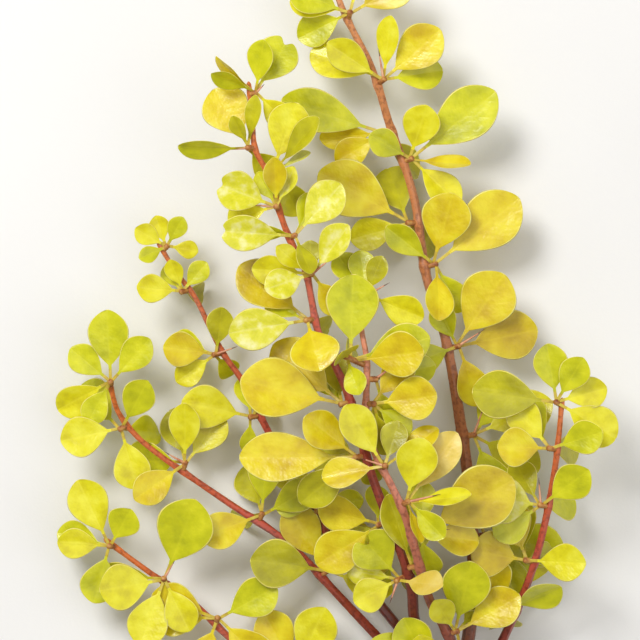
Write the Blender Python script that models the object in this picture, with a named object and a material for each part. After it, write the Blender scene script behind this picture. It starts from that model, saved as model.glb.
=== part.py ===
"""Cut branch of a golden leaved barberry, lying down.

A short forked base with a clean cut end carries seven shoots and twigs. Each shoot is a
tapering limb. Every leaf cluster is a spur with its thorn and its leaves, fused together.
The plan is drawn in millimetres: +X to the right, +Y along the branch, +Z up from the
surface that the branch lies on. The plan starts under the cut end.
"""
import math
import random
from typing import NamedTuple

import bmesh
import bpy
from mathutils import Matrix, Vector
from mathutils.bvhtree import BVHTree

MM = 0.001

# Driving dimensions, in millimetres
CLEARANCE = 0.3
LEAF_THICKNESS = 0.5
PETIOLE_WIDTH = 0.9
PETIOLE_SHARE = 0.2
SPUR_RADIUS = 0.85
SPUR_TIP_SHARE = 0.9
SPUR_BACKWARD_SHARE = 0.7
THORN_RADIUS = 0.42
THORN_PLACE_ON_SPUR = 0.6
STEM_SPACING = 9.0
STEM_TEST_SWELL = 1.1
STEM_TEST_SIDES = 8
SPUR_SIDES = 6
THORN_SIDES = 4
ROUTE_STEPS = 16
STEM_BEVEL_RESOLUTION = 2
LEAF_STATIONS = (0.0, 0.2, 0.44, 0.72, 0.93)
BLADE_START = 0.36
GOLDEN_ANGLE = 137.5
COLLECTION_NAME = "barberry_branch"


class Leaf(NamedTuple):
    """One leaf: its bearing in plan and its size, then how it leaves the plan's plane."""

    bearing: float
    length: float
    width: float
    lift: float = 0.0
    roll: float = 0.0
    fold: float = 12.0
    bend: float = 8.0


class Cluster(NamedTuple):
    """A spur at a level of its shoot, its thorn and leaves, and how many grow by the rule."""

    level: float
    side: float
    rise: float
    twig: float = 2.2
    thorn: tuple = ()
    leaves: tuple = ()
    extra: int = 0


class Shoot(NamedTuple):
    """A tapering limb through its route's points, with its clusters of leaves."""

    name: str
    route: tuple
    root_radius: float
    tip_radius: float
    leaf_size: float
    clusters: tuple


BASE_LIMB = Shoot(
    "base_limb",
    ((6.5, 0.0, 4.4), (4.2, 9.0, 5.4), (1.0, 19.0, 7.6), (-3.3, 29.5, 10.6)),
    4.2, 2.5, 17.0,
    (Cluster(21.0, 135.0, 55.0, 2.5, (), (
        Leaf(106, 16, 9, 30, 10),
        Leaf(150, 21, 11, 8, -15),
    ), 3),),
)

MAIN_SHOOT = Shoot(
    "main_shoot",
    ((-3.45, 29.9, 10.75), (-6.5, 37.0, 15.0), (-7.6, 47.0, 21.0), (-9.8, 54.5, 24.3), (-13.4, 64.5, 27.2),
     (-16.5, 72.0, 28.6), (-20.0, 82.3, 30.0), (-25.9, 102.6, 31.0), (-35.0, 122.0, 31.5),
     (-36.1, 133.0, 32.0), (-41.2, 143.2, 32.0), (-45.1, 153.7, 32.5), (-47.8, 163.5, 33.0),
     (-51.6, 170.4, 33.5), (-52.2, 180.0, 34.4), (-53.1, 187.5, 35.2)),
    1.6, 0.65, 15.0,
    (
        Cluster(50.4, 185.0, 38.0, 3.0, (250, 7, 10), (
            Leaf(131, 18.5, 13.5, 14, 0, 8, 14),
            Leaf(205, 14.5, 10.5, 6, 8),
            Leaf(168, 15, 8, -8, 20),
            Leaf(356, 18.5, 8.5, 17, 48),
        ), 2),
        Cluster(66.0, 215.0, -25.0, 2.4, (), (
            Leaf(213, 22, 13, -14),
            Leaf(165, 19, 11, -22, 15),
            Leaf(262, 17, 10, -30),
        ), 2),
        Cluster(84.6, 175.0, 22.0, 2.2, (205, 7, 5), (
            Leaf(144, 20, 11, 10, -10, 10, 18),
            Leaf(181, 33, 14.5, -6, -12),
            Leaf(219, 21, 11, -16, 10),
        ), 2),
        Cluster(99.3, 172.0, 25.0, 2.2, (), (
            Leaf(167, 29.5, 17, 2, -6, 10, 6),
            Leaf(139, 26, 14.5, -14, 0),
            Leaf(100, 17, 9, -24, 0),
        ), 2),
        Cluster(122.6, 178.0, 30.0, 2.4, (), (
            Leaf(143, 25, 13.5, -12, -8),
            Leaf(189, 22.5, 12, 3, 6, 8),
            Leaf(284, 17.5, 14.5, 44, 0, 14, -20),
        ), 2),
        Cluster(134.6, 25.0, 48.0, 1.8, (39, 7.5, 20), (
            Leaf(142, 13.6, 6, 22, -12),
            Leaf(51, 18, 10, 14, 18, 26),
            Leaf(92, 9.5, 6.5, -6, 0),
            Leaf(198, 15, 9, 30, -8, 8, -10),
        ), 2),
        Cluster(145.2, 20.0, 40.0, 1.8, (), (
            Leaf(177, 21.5, 10.5, 14, 10, 16, -8),
            Leaf(169, 10, 5, -10, 55),
            Leaf(47, 19.5, 11.5, 4, 10, 10),
        ), 2),
        Cluster(153.4, 120.0, 52.0, 1.8, (176, 7.4, -5), (
            Leaf(92, 15, 7.6, 22, 0, 28),
            Leaf(117, 11, 6, -6, 10),
            Leaf(63, 12.3, 6.4, 6, 30),
            Leaf(159, 18, 12.5, 8, 0, 26),
        ), 1),
        Cluster(163.2, 10.0, 25.0, 1.8, (25, 10, -5), (
            Leaf(70, 20, 12.4, 4, 0, 8),
            Leaf(45, 20.2, 9, 10, 42, 14),
            Leaf(21, 11.5, 6, 12, 62),
        ), 1),
        Cluster(170.2, 178.0, 22.0, 1.8, (184, 8.6, 0), (
            Leaf(121, 19.5, 13.6, -12, 0, 8),
            Leaf(115, 10.5, 5, 20, 25, 20),
            Leaf(183, 19.5, 8.5, 8, 52, 14, -10),
            Leaf(79, 15, 5, -12, 20),
        ), 1),
        Cluster(184.8, 30.0, 30.0, 1.4, (45, 3.4, 5), (
            Leaf(58, 18, 12, 4, 0, 8),
            Leaf(78, 15.4, 8.4, 16, 26),
            Leaf(144, 15.2, 6, 6, 66, 16, -14),
            Leaf(154, 13.8, 7.4, 14, 52),
        ), 1),
    ),
)

SECOND_SHOOT = Shoot(
    "second_shoot",
    ((2.0, 17.0, 7.5), (5.0, 24.0, 11.8), (4.3, 29.5, 15.6), (1.4, 36.0, 20.0), (-3.4, 45.3, 25.2),
     (-5.7, 54.4, 29.0), (-8.0, 62.0, 31.6), (-11.4, 72.4, 33.4), (-16.4, 81.4, 34.6),
     (-20.0, 91.0, 35.0), (-21.0, 99.2, 34.8), (-20.0, 107.3, 34.4), (-22.0, 121.0, 33.6),
     (-21.7, 129.5, 33.0)),
    1.5, 0.7, 16.0,
    (
        Cluster(33.5, 20.0, 25.0, 2.2, (), (
            Leaf(78, 22.5, 14, 16, 0, 8),
            Leaf(122, 15, 8, 34, 0),
            Leaf(30, 21, 12, 4, 10),
        ), 2),
        Cluster(53.4, 200.0, -35.0, 2.2, (), (
            Leaf(110, 22, 9.5, -10, 18),
            Leaf(150, 20, 11, -26, 0),
        ), 2),
        Cluster(62.2, 15.0, 0.0, 2.2, (8, 8.5, 4), (
            Leaf(30, 30.5, 18, -4, 0, 8),
            Leaf(350, 18, 10, -22, 10),
        ), 2),
        Cluster(71.0, 35.0, 38.0, 2.2, (14, 9.5, 6), (
            Leaf(77, 19.5, 12, 12, 0, 10),
            Leaf(54, 24, 10.5, -10, 0),
            Leaf(4, 18, 8, 8, 54),
            Leaf(284, 12, 6, 8, 55),
        ), 1),
        Cluster(81.4, 85.0, 60.0, 2.0, (162, 7.4, 4), (
            Leaf(123, 21, 10.5, 12, -8, 10, 6),
            Leaf(32, 18.5, 8, 8, 36),
            Leaf(72, 13, 8, -8, 10),
        ), 1),
        Cluster(99.0, 5.0, 38.0, 2.0, (), (
            Leaf(8, 18.5, 12.6, 8, 0, 8),
            Leaf(52, 18, 9.5, -14, 0),
            Leaf(320, 14, 8, -18, 20),
        ), 1),
        Cluster(105.8, 10.0, -10.0, 2.2, (37, 7.5, 12), (
            Leaf(11, 20, 9, -8, 8),
            Leaf(24, 17, 9.5, -26, 0),
        ), 1),
        Cluster(109.6, 126.0, 12.0, 7.2, (), (
            Leaf(8, 20.5, 13, 16, 0, 8),
            Leaf(16, 22.5, 12, -6, 0, 8),
            Leaf(88, 23.5, 15, -14, 0, 10),
            Leaf(128, 9, 9, 40, 0),
            Leaf(290, 12.5, 7, 26, -14),
        ), 1),
        Cluster(128.4, 60.0, 30.0, 1.6, (29, 7.3, 8), (
            Leaf(67, 12, 6.5, 4, 10),
            Leaf(98, 13, 8, -14, 0),
            Leaf(130, 11, 7, -30, 0),
        ), 2),
    ),
)

RIGHT_SHOOT = Shoot(
    "right_shoot",
    ((3.0, 12.0, 5.8), (7.0, 21.0, 6.8), (9.6, 34.0, 8.4), (10.4, 50.0, 9.6), (9.6, 70.0, 10.6),
     (7.2, 90.0, 11.4), (2.9, 115.2, 12.0), (-3.1, 135.1, 12.4), (-6.0, 154.3, 12.6), (-9.2, 166.0, 12.8),
     (-13.1, 176.5, 13.0), (-18.8, 194.6, 13.0), (-28.0, 213.7, 12.8), (-34.5, 239.0, 12.4)),
    1.95, 0.8, 21.0,
    (
        Cluster(60.0, 30.0, -10.0, 2.4, (), (
            Leaf(350, 24, 13, -6),
            Leaf(300, 21, 12, -4),
        ), 3),
        Cluster(89.0, 15.0, 20.0, 2.4, (70, 9, 10), (
            Leaf(22, 25, 13, -4, 8),
            Leaf(332, 22, 12, -10, 0),
        ), 2),
        Cluster(114.0, 25.0, 25.0, 2.4, (33, 9.5, 16), (
            Leaf(57, 25, 16.5, 2, 0, 8),
            Leaf(12, 24, 14.5, -10, 0, 8),
            Leaf(117, 14, 8, 8, 10),
            Leaf(200, 16, 9, -16, 0),
        ), 1),
        Cluster(137.5, 20.0, 20.0, 2.4, (), (
            Leaf(75, 21.5, 14.5, 8, 0, 8),
            Leaf(38, 31, 16.5, -4, 0, 8),
            Leaf(142, 19, 8.5, 4, 10),
            Leaf(300, 16, 9, -16, 0),
        ), 1),
        Cluster(150.0, 165.0, 25.0, 2.4, (230, 8, 0), (
            Leaf(151, 30, 16.5, -2, 0, 10),
            Leaf(195, 18, 10, -16, 0),
        ), 2),
        Cluster(167.5, 12.0, 30.0, 2.2, (), (
            Leaf(72, 17, 11, 18, 0, 8),
            Leaf(38, 31, 15, 2, 0, 8),
            Leaf(351, 17.5, 7.5, 10, 50),
            Leaf(152, 15, 8.5, 20, 0),
        ), 1),
        Cluster(176.0, 175.0, 15.0, 2.2, (), (
            Leaf(162, 31, 12.5, -4, 0, 10),
            Leaf(182, 19, 8, -18, 14),
            Leaf(210, 16, 9, -24, 0),
        ), 1),
        Cluster(189.5, 60.0, 35.0, 2.2, (100, 9, 10), (
            Leaf(41, 22, 13, 4, 0, 10),
            Leaf(147, 20, 9.5, 16, 8),
            Leaf(82, 18.5, 7.5, 10, 25),
            Leaf(10, 18, 10, -20, 0),
        ), 1),
        Cluster(208.0, 100.0, 30.0, 2.2, (), (
            Leaf(30, 21, 12, 2, 0),
            Leaf(158, 19, 10.5, 6, 0),
            Leaf(75, 18, 10, -12, 0),
            Leaf(205, 17, 10, -20, 0),
        ), 1),
        Cluster(235.5, 40.0, 25.0, 1.8, (20, 6, 10), (
            Leaf(100, 17, 10, 4, 0),
            Leaf(60, 18, 10.5, 10, 0),
            Leaf(150, 17, 9.5, 8, 0),
            Leaf(200, 15, 8, -10, 0),
            Leaf(340, 16, 9, -12, 0),
        ), 1),
    ),
)

LEFT_SHOOT = Shoot(
    "left_shoot",
    ((0.2, 22.0, 8.0), (-6.5, 29.0, 8.6), (-14.0, 38.0, 8.6), (-26.2, 53.5, 8.8), (-39.1, 73.6, 9.6),
     (-49.2, 92.2, 10.4), (-54.8, 103.7, 10.8), (-62.6, 115.2, 11.2), (-67.7, 126.6, 11.6),
     (-74.0, 135.2, 12.0),
     (-79.4, 143.9, 12.4)),
    1.5, 0.6, 14.0,
    (
        Cluster(66.0, 110.0, 20.0, 2.4, (), (
            Leaf(72, 22, 11, 0, 10),
            Leaf(128, 20, 11, -4, 0),
            Leaf(320, 20, 11, -10, 0),
        ), 3),
        Cluster(95.0, 160.0, 20.0, 2.2, (), (
            Leaf(168, 21, 13, 4, 0),
            Leaf(60, 16, 9, -8, 0),
        ), 3),
        Cluster(113.0, 170.0, 25.0, 2.2, (20, 7, 6), (
            Leaf(172, 15.5, 10.5, 4, 0),
            Leaf(82, 14, 8, -6, 0),
            Leaf(215, 14, 8, -14, 0),
        ), 2),
        Cluster(131.0, 165.0, 25.0, 2.0, (), (
            Leaf(175, 13.5, 8.5, 6, 0),
            Leaf(110, 10, 6, 10, 20),
            Leaf(50, 11, 6.5, -6, 0),
        ), 2),
        Cluster(142.2, 60.0, 25.0, 1.5, (), (
            Leaf(108, 9.5, 6, 4, 0),
            Leaf(60, 10, 6, 10, 0),
            Leaf(150, 10.5, 6.5, 8, 0),
            Leaf(205, 9, 5, -10, 0),
            Leaf(350, 9, 5.5, -14, 0),
        ), 0),
    ),
)

LEFT_TWIG = Shoot(
    "left_twig",
    ((1.4, 17.0, 6.8), (-9.0, 23.5, 7.4), (-25.0, 40.0, 8.4), (-42.0, 58.0, 9.4), (-55.2, 67.0, 10.2),
     (-70.6, 77.5, 11.0), (-83.5, 87.0, 11.6), (-90.5, 95.0, 12.0), (-93.5, 104.5, 12.4)),
    1.4, 0.65, 19.0,
    (
        Cluster(49.0, 30.0, 30.0, 2.4, (), (
            Leaf(38, 20, 12.5, 6, 0),
            Leaf(120, 22, 12, -4, 0),
            Leaf(170, 23, 14.5, 4, 0),
        ), 2),
        Cluster(64.5, 80.0, 25.0, 2.2, (), (
            Leaf(30, 19, 10, 2, 0),
            Leaf(84, 20, 10.5, 6, 12),
            Leaf(200, 19, 11, -10, 0),
        ), 2),
        Cluster(79.0, 100.0, 20.0, 2.2, (150, 7, 8), (
            Leaf(88, 19, 9.5, 8, 8),
            Leaf(52, 18, 10, 0, 0),
            Leaf(215, 18, 10, -10, 0),
        ), 2),
        Cluster(92.5, 200.0, 20.0, 2.2, (), (
            Leaf(192, 18, 12, 4, 0),
            Leaf(60, 18, 10, 2, 0),
            Leaf(285, 18, 11, -6, 0),
        ), 2),
        Cluster(103.2, 100.0, 25.0, 1.6, (), (
            Leaf(92, 21, 12, 4, 0),
            Leaf(48, 17, 9.5, 4, 0),
            Leaf(140, 15, 9, -4, 0),
            Leaf(240, 14, 8, -12, 0),
        ), 1),
    ),
)

LOW_LEFT_TWIG = Shoot(
    "low_left_twig",
    ((4.0, 9.5, 5.0), (-9.0, 9.5, 5.8), (-30.0, 14.5, 6.6), (-47.0, 22.5, 7.6), (-59.2, 31.0, 8.8),
     (-70.6, 42.1, 10.0), (-82.1, 50.0, 10.8), (-94.4, 59.3, 11.4)),
    1.4, 0.7, 18.0,
    (
        Cluster(19.5, 60.0, 30.0, 2.4, (), (
            Leaf(66, 21, 13, 4, 0),
            Leaf(118, 20, 12, 0, 0),
            Leaf(200, 20, 11, -6, 0),
            Leaf(300, 18, 10, -6, 0),
        ), 1),
        Cluster(35.0, 110.0, 30.0, 2.2, (), (
            Leaf(30, 20, 12, 4, 0),
            Leaf(250, 18, 11, -6, 0),
            Leaf(160, 20, 12, -10, 0),
        ), 2),
        Cluster(47.0, 130.0, 35.0, 2.2, (60, 7, 8), (
            Leaf(188, 19, 13.5, 12, 0, 8),
            Leaf(68, 26, 17, 4, 0, 14),
            Leaf(250, 20, 12, -8, 0),
        ), 2),
        Cluster(57.6, 150.0, 30.0, 1.8, (), (
            Leaf(60, 13, 10, 12, 0),
            Leaf(175, 15, 9, 4, 0),
            Leaf(115, 21, 12, 0, 0),
            Leaf(255, 17, 11, -6, 0),
        ), 1),
    ),
)

LOW_RIGHT_TWIG = Shoot(
    "low_right_twig",
    ((4.4, 8.0, 5.4), (12.0, 16.5, 7.2), (19.5, 32.5, 12.5), (26.0, 49.5, 18.5), (30.2, 66.5, 23.0),
     (33.0, 84.0, 25.5), (34.4, 99.5, 26.5)),
    1.5, 0.7, 18.0,
    (
        Cluster(39.0, 160.0, 30.0, 2.4, (), (
            Leaf(118, 17, 13, 10, 0),
            Leaf(152, 20, 13, 2, 0),
            Leaf(30, 18, 11, -10, 0),
        ), 2),
        Cluster(54.0, 165.0, 25.0, 2.2, (), (
            Leaf(169, 17, 13.6, 8, 0, 8),
            Leaf(112, 18, 12, -8, 0),
            Leaf(0, 18, 11, -6, 0),
        ), 2),
        Cluster(70.0, 165.0, 30.0, 2.2, (95, 8, 10), (
            Leaf(172, 15.5, 13, 10, 0, 10),
            Leaf(40, 18, 11, 0, 0),
            Leaf(215, 16, 10, -12, 0),
        ), 2),
        Cluster(86.0, 160.0, 25.0, 2.2, (), (
            Leaf(177, 15.5, 11.5, 4, 0),
            Leaf(20, 16, 10, 4, 0),
            Leaf(130, 17, 10, -10, 0),
        ), 2),
        Cluster(98.5, 120.0, 25.0, 1.6, (), (
            Leaf(172, 24, 14, -12, 0),
            Leaf(100, 17, 10, 6, 0),
            Leaf(60, 15, 9, 4, 0),
            Leaf(15, 15, 9, -8, 0),
        ), 1),
    ),
)

SHOOTS = (
    BASE_LIMB, MAIN_SHOOT, SECOND_SHOOT, LOW_RIGHT_TWIG, RIGHT_SHOOT, LEFT_SHOOT, LEFT_TWIG, LOW_LEFT_TWIG,
)

# Changes that are tried in turn where a leaf would touch what grows beside it:
# more lift, then more roll, then another bearing and a smaller leaf
LIFT_STEPS = (0, 7, -7, 14, -14, 21, -21, 29, -29)
ROLL_STEPS = (0, 16, -16, 34, -34)
TURN_STEPS = ((0, 1.0), (7, 1.0), (-7, 1.0), (14, 0.9), (-14, 0.9), (0, 0.75))


def smooth_route(points):
    """Fine points along a smooth curve through the route's points."""
    knots = [Vector(p) for p in points]
    knots = [2 * knots[0] - knots[1]] + knots + [2 * knots[-1] - knots[-2]]
    fine = []
    for k in range(1, len(knots) - 2):
        before, start, end, after = knots[k - 1:k + 3]
        for step in range(ROUTE_STEPS):
            t = step / ROUTE_STEPS
            fine.append(0.5 * (2 * start + (end - before) * t
                               + (2 * before - 5 * start + 4 * end - after) * t * t
                               + (3 * start - before - 3 * end + after) * t ** 3))
    fine.append(knots[-2])
    return fine


def evenly(fine, spacing):
    """The same line with points at about this spacing."""
    run = [0.0]
    for a, b in zip(fine, fine[1:]):
        run.append(run[-1] + (b - a).length)
    count = max(2, round(run[-1] / spacing))
    places = []
    at = 0
    for k in range(count + 1):
        wanted = run[-1] * k / count
        while at < len(run) - 2 and run[at + 1] < wanted:
            at += 1
        share = (wanted - run[at]) / (run[at + 1] - run[at])
        places.append(fine[at].lerp(fine[at + 1], share))
    return places


def limb_radii(shoot, count):
    """The limb's radius at each of its points, from root to tip."""
    taper = shoot.root_radius - shoot.tip_radius
    return [shoot.root_radius - taper * (k / (count - 1)) ** 0.9 for k in range(count)]


def distance_to_limb(point, centres, radii):
    """How far a point lies outside a limb."""
    least = math.inf
    for a, b, ra, rb in zip(centres, centres[1:], radii, radii[1:]):
        along = b - a
        t = min(1.0, max(0.0, (point - a).dot(along) / along.length_squared))
        least = min(least, (point - a.lerp(b, t)).length - ra - (rb - ra) * t)
    return least


def clear_of_base(fine, radius, base):
    """The line from where an end face of this radius has left the base by the clearance."""
    for k in range(len(fine) - 2):
        way = (fine[k + 1] - fine[k]).normalized()
        across = way.orthogonal().normalized()
        other = way.cross(across)
        rim = [fine[k] + (across * math.cos(a) + other * math.sin(a)) * radius
               for a in (step * math.pi / 8 for step in range(16))]
        if min(distance_to_limb(p, *base) for p in rim) >= CLEARANCE:
            return fine[k:]
    return fine


def limb_lines():
    """Each limb's points and radii, with those that leave the base cut clear of it."""
    lines = {}
    for shoot in SHOOTS:
        fine = evenly(smooth_route(shoot.route), CLEARANCE)
        if shoot not in (BASE_LIMB, MAIN_SHOOT):
            fine = clear_of_base(fine, shoot.root_radius, lines[BASE_LIMB.name])
        centres = evenly(fine, STEM_SPACING)
        lines[shoot.name] = (centres, limb_radii(shoot, len(centres)))
    return lines


def unit(bearing, lift):
    """The direction with this bearing in plan and this lift out of it, in degrees."""
    b, l = math.radians(bearing), math.radians(lift)
    return Vector((math.cos(b) * math.cos(l), math.sin(b) * math.cos(l), math.sin(l)))


def leaf_axes(leaf):
    """A leaf's own directions: along it, across its blade and out of its face."""
    along = unit(leaf.bearing, leaf.lift)
    level = unit(leaf.bearing - 90.0, 0.0)
    face = level.cross(along)
    roll = math.radians(leaf.roll)
    across = level * math.cos(roll) + face * math.sin(roll)
    return along, across, face * math.cos(roll) - level * math.sin(roll)


def blade_share(t):
    """The half width at a place along the leaf, as a share of the widest half width."""
    if t <= PETIOLE_SHARE:
        return 0.0
    q = (t - PETIOLE_SHARE) / (1.0 - PETIOLE_SHARE)
    return math.sin(math.pi * min(1.0, q) ** 1.38) ** 0.62 * q / (q + 0.1) * 1.13


def leaf_point(leaf, root, axes, t, u, proud):
    """A point of the leaf: t along it, u across it from edge to edge, and proud of its face."""
    along, across, face = axes
    bend = math.radians(leaf.bend) + 1e-6
    turn = bend * t
    centre = root + leaf.length / bend * (along * math.sin(turn) + face * (1.0 - math.cos(turn)))
    up = face * math.cos(turn) - along * math.sin(turn)
    half = max(PETIOLE_WIDTH / 2, leaf.width / 2 * blade_share(t))
    fold = math.radians(leaf.fold) * min(1.0, max(0.0, (t - 0.15) / 0.3))
    return centre + half * (across * u * math.cos(fold) + up * abs(u) * math.sin(fold)) + up * proud


def leaf_loft(leaf, root, start=0.0, grow=0.0):
    """The leaf's closed solid from a place along it, grown on every side for a clearance test."""
    axes = leaf_axes(leaf)
    thick = LEAF_THICKNESS / 2 + grow
    mesh = bmesh.new()
    rings = []
    for t in [start] + [s for s in LEAF_STATIONS if s > start + 0.04]:
        half = max(PETIOLE_WIDTH / 2, leaf.width / 2 * blade_share(t))
        reach = 1.0 + grow / half
        ring = [leaf_point(leaf, root, axes, t, u, proud)
                for u, proud in ((-reach, 0.0), (0.0, thick), (reach, 0.0), (0.0, -thick))]
        rings.append([mesh.verts.new(p) for p in ring])
    tip = mesh.verts.new(leaf_point(leaf, root, axes, 1.0 + grow / leaf.length, 0.0, 0.0))
    mesh.faces.new(rings[0])
    for low, high in zip(rings, rings[1:]):
        for k in range(4):
            mesh.faces.new((low[k - 1], low[k], high[k], high[k - 1]))
    for k in range(4):
        mesh.faces.new((rings[-1][k - 1], rings[-1][k], tip))
    bmesh.ops.recalc_face_normals(mesh, faces=mesh.faces)
    return mesh


def tapered_rod(start, end, start_radius, end_radius, sides):
    """A straight closed rod that tapers from one end to the other."""
    way = end - start
    mesh = bmesh.new()
    bmesh.ops.create_cone(mesh, cap_ends=True, segments=sides, radius1=start_radius, radius2=end_radius,
                          depth=way.length)
    turn = Vector((0, 0, 1)).rotation_difference(way).to_matrix().to_4x4()
    bmesh.ops.transform(mesh, matrix=Matrix.Translation((start + end) / 2) @ turn, verts=mesh.verts)
    return mesh


def spur_rod(spur):
    """A spur's own rod between its two ends."""
    return tapered_rod(*spur, SPUR_RADIUS, SPUR_RADIUS * SPUR_TIP_SHARE, SPUR_SIDES)


class Solid(NamedTuple):
    """A placed shape for the clearance tests, with its box and the cluster that it belongs to."""

    low: Vector
    high: Vector
    tree: BVHTree
    blade: BVHTree
    owner: str


def solid_of(mesh, blade, owner):
    """The test shape of a mesh, and of its outer part where that is given."""
    low = Vector(min(v.co[i] for v in mesh.verts) for i in range(3))
    high = Vector(max(v.co[i] for v in mesh.verts) for i in range(3))
    return Solid(low, high, BVHTree.FromBMesh(mesh), BVHTree.FromBMesh(blade or mesh), owner)


def touches(mesh, blade, owner, placed):
    """Whether a grown shape meets another cluster's shape, or its blade one of its own cluster."""
    test = solid_of(mesh, blade, owner)
    for other in placed:
        if all(test.low[i] <= other.high[i] and other.low[i] <= test.high[i] for i in range(3)):
            if other.owner == owner:
                if test.blade.overlap(other.blade):
                    return True
            elif test.tree.overlap(other.tree):
                return True
    return False


def lowest(leaf, root):
    """The height of the leaf's lowest point."""
    mesh = leaf_loft(leaf, root)
    low = min(v.co.z for v in mesh.verts)
    mesh.free()
    return low


def laid_on_floor(leaf, root):
    """The leaf, raised just enough to lie on the surface where it would reach below it."""
    if lowest(leaf, root) >= 0.0:
        return leaf
    raised = leaf.lift
    while raised < 80.0 and lowest(leaf._replace(lift=raised), root) < 0.0:
        raised += 4.0
    low, high = raised - 4.0, raised
    for _ in range(10):
        middle = (low + high) / 2
        if lowest(leaf._replace(lift=middle), root) < 0.0:
            low = middle
        else:
            high = middle
    return leaf._replace(lift=high)


def fitted_leaf(leaf, root, owner, placed):
    """The leaf as first tried or with the least change that keeps it clear, or None."""
    for turn, size in TURN_STEPS:
        for roll in ROLL_STEPS:
            for lift in LIFT_STEPS:
                trial = laid_on_floor(leaf._replace(
                    bearing=leaf.bearing + turn, length=leaf.length * size, width=leaf.width * size,
                    lift=leaf.lift + lift, roll=leaf.roll + roll), root)
                whole = leaf_loft(trial, root, 0.0, CLEARANCE)
                blade = leaf_loft(trial, root, BLADE_START, CLEARANCE / 2)
                meets = touches(whole, blade, owner, placed)
                whole.free()
                blade.free()
                if not meets:
                    return trial
    return None


class Placed(NamedTuple):
    """A cluster in its place: its spur's ends, its thorn's ends, and its leaves with their roots."""

    name: str
    spur: tuple
    thorn: tuple
    leaves: list


def spur_ends(cluster, line):
    """Where a cluster's spur starts, just clear of its limb, and where it ends."""
    centres, radii = line
    for k in range(len(centres) - 1):
        if centres[k + 1].y >= cluster.level:
            break
    share = (cluster.level - centres[k].y) / (centres[k + 1].y - centres[k].y)
    way = (centres[k + 1] - centres[k]).normalized()
    out = unit(cluster.side, cluster.rise)
    out = (out - way * out.dot(way) * SPUR_BACKWARD_SHARE).normalized()
    sine = out.cross(way).length
    centre = centres[k].lerp(centres[k + 1], share)
    radius = radii[k] + (radii[k + 1] - radii[k]) * share
    lean = SPUR_RADIUS * math.sqrt(1.0 - sine * sine)
    start = centre + out * ((radius + CLEARANCE + lean) / sine)
    return start, start + out * cluster.twig


def grown_leaves(cluster, spur, size, chance):
    """The leaves that the rule adds: a rosette round the spur, turned by the golden angle."""
    out = (spur[1] - spur[0]).normalized()
    first = out.orthogonal().normalized()
    second = out.cross(first)
    leaves = []
    for k in range(cluster.extra):
        angle = math.radians(GOLDEN_ANGLE * (k + 1) + chance.uniform(-30, 30))
        open_by = math.radians(chance.uniform(62, 104))
        aside = first * math.cos(angle) + second * math.sin(angle)
        way = out * math.cos(open_by) + aside * math.sin(open_by)
        if way.z > 0.1:
            way.z *= -0.6
            way.normalize()
        bearing = math.degrees(math.atan2(way.y, way.x))
        lift = math.degrees(math.asin(way.z))
        length = size * chance.uniform(0.82, 1.14)
        leaves.append(Leaf(bearing, length, length * chance.uniform(0.5, 0.62), lift,
                           chance.uniform(-22, 22), chance.uniform(8, 18), chance.uniform(-16, 22)))
    return leaves


def plan_clusters(lines):
    """Every cluster in its place. Limbs and spurs come first, then drawn leaves, then grown ones."""
    placed = []
    for shoot in SHOOTS:
        centres, radii = lines[shoot.name]
        for a, b, ra, rb in zip(centres, centres[1:], radii, radii[1:]):
            mesh = tapered_rod(a, b, ra * STEM_TEST_SWELL, rb * STEM_TEST_SWELL, STEM_TEST_SIDES)
            placed.append(solid_of(mesh, None, shoot.name))
            mesh.free()
    clusters = []
    for shoot in SHOOTS:
        for number, cluster in enumerate(shoot.clusters, 1):
            name = f"{shoot.name}_leaves_{number:02d}"
            spur = spur_ends(cluster, lines[shoot.name])
            mesh = spur_rod(spur)
            placed.append(solid_of(mesh, None, name + "_spur"))
            mesh.free()
            clusters.append((shoot, cluster, Placed(name, spur, (), [])))
    finished = []
    for shoot, cluster, place in clusters:
        own = [s for s in placed if s.owner != place.name + "_spur"]
        thorn = ()
        if cluster.thorn:
            bearing, length, lift = cluster.thorn
            root = place.spur[0].lerp(place.spur[1], THORN_PLACE_ON_SPUR)
            thorn = (root, root + unit(bearing, lift) * length)
            grown = tapered_rod(*thorn, THORN_RADIUS + CLEARANCE, CLEARANCE, THORN_SIDES)
            if touches(grown, None, place.name, own):
                thorn = ()
            else:
                mesh = tapered_rod(*thorn, THORN_RADIUS, 0.0, THORN_SIDES)
                placed.append(solid_of(mesh, None, place.name))
                mesh.free()
            grown.free()
        finished.append((shoot, cluster, place._replace(thorn=thorn)))
    for rule_grown in (False, True):
        for number, (shoot, cluster, place) in enumerate(finished):
            leaves = cluster.leaves
            if rule_grown:
                leaves = grown_leaves(cluster, place.spur, shoot.leaf_size, random.Random(number + 11))
            total = len(cluster.leaves) + cluster.extra
            for leaf in leaves:
                root = place.spur[0].lerp(place.spur[1], 0.35 + 0.5 * len(place.leaves) / total)
                own = [s for s in placed if s.owner != place.name + "_spur"]
                fitted = fitted_leaf(leaf, root, place.name, own)
                if fitted is None:
                    continue
                place.leaves.append((fitted, root))
                whole, blade = leaf_loft(fitted, root), leaf_loft(fitted, root, BLADE_START)
                placed.append(solid_of(whole, blade, place.name))
                whole.free()
                blade.free()
    return [place for _, _, place in finished]


def material(name, colour, roughness):
    """A plain material with the part's colour."""
    made = bpy.data.materials.new(name)
    made.use_nodes = True
    shader = made.node_tree.nodes["Principled BSDF"]
    shader.inputs["Base Color"].default_value = (*colour, 1.0)
    shader.inputs["Roughness"].default_value = roughness
    shader.inputs["Metallic"].default_value = 0.0
    return made


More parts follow.
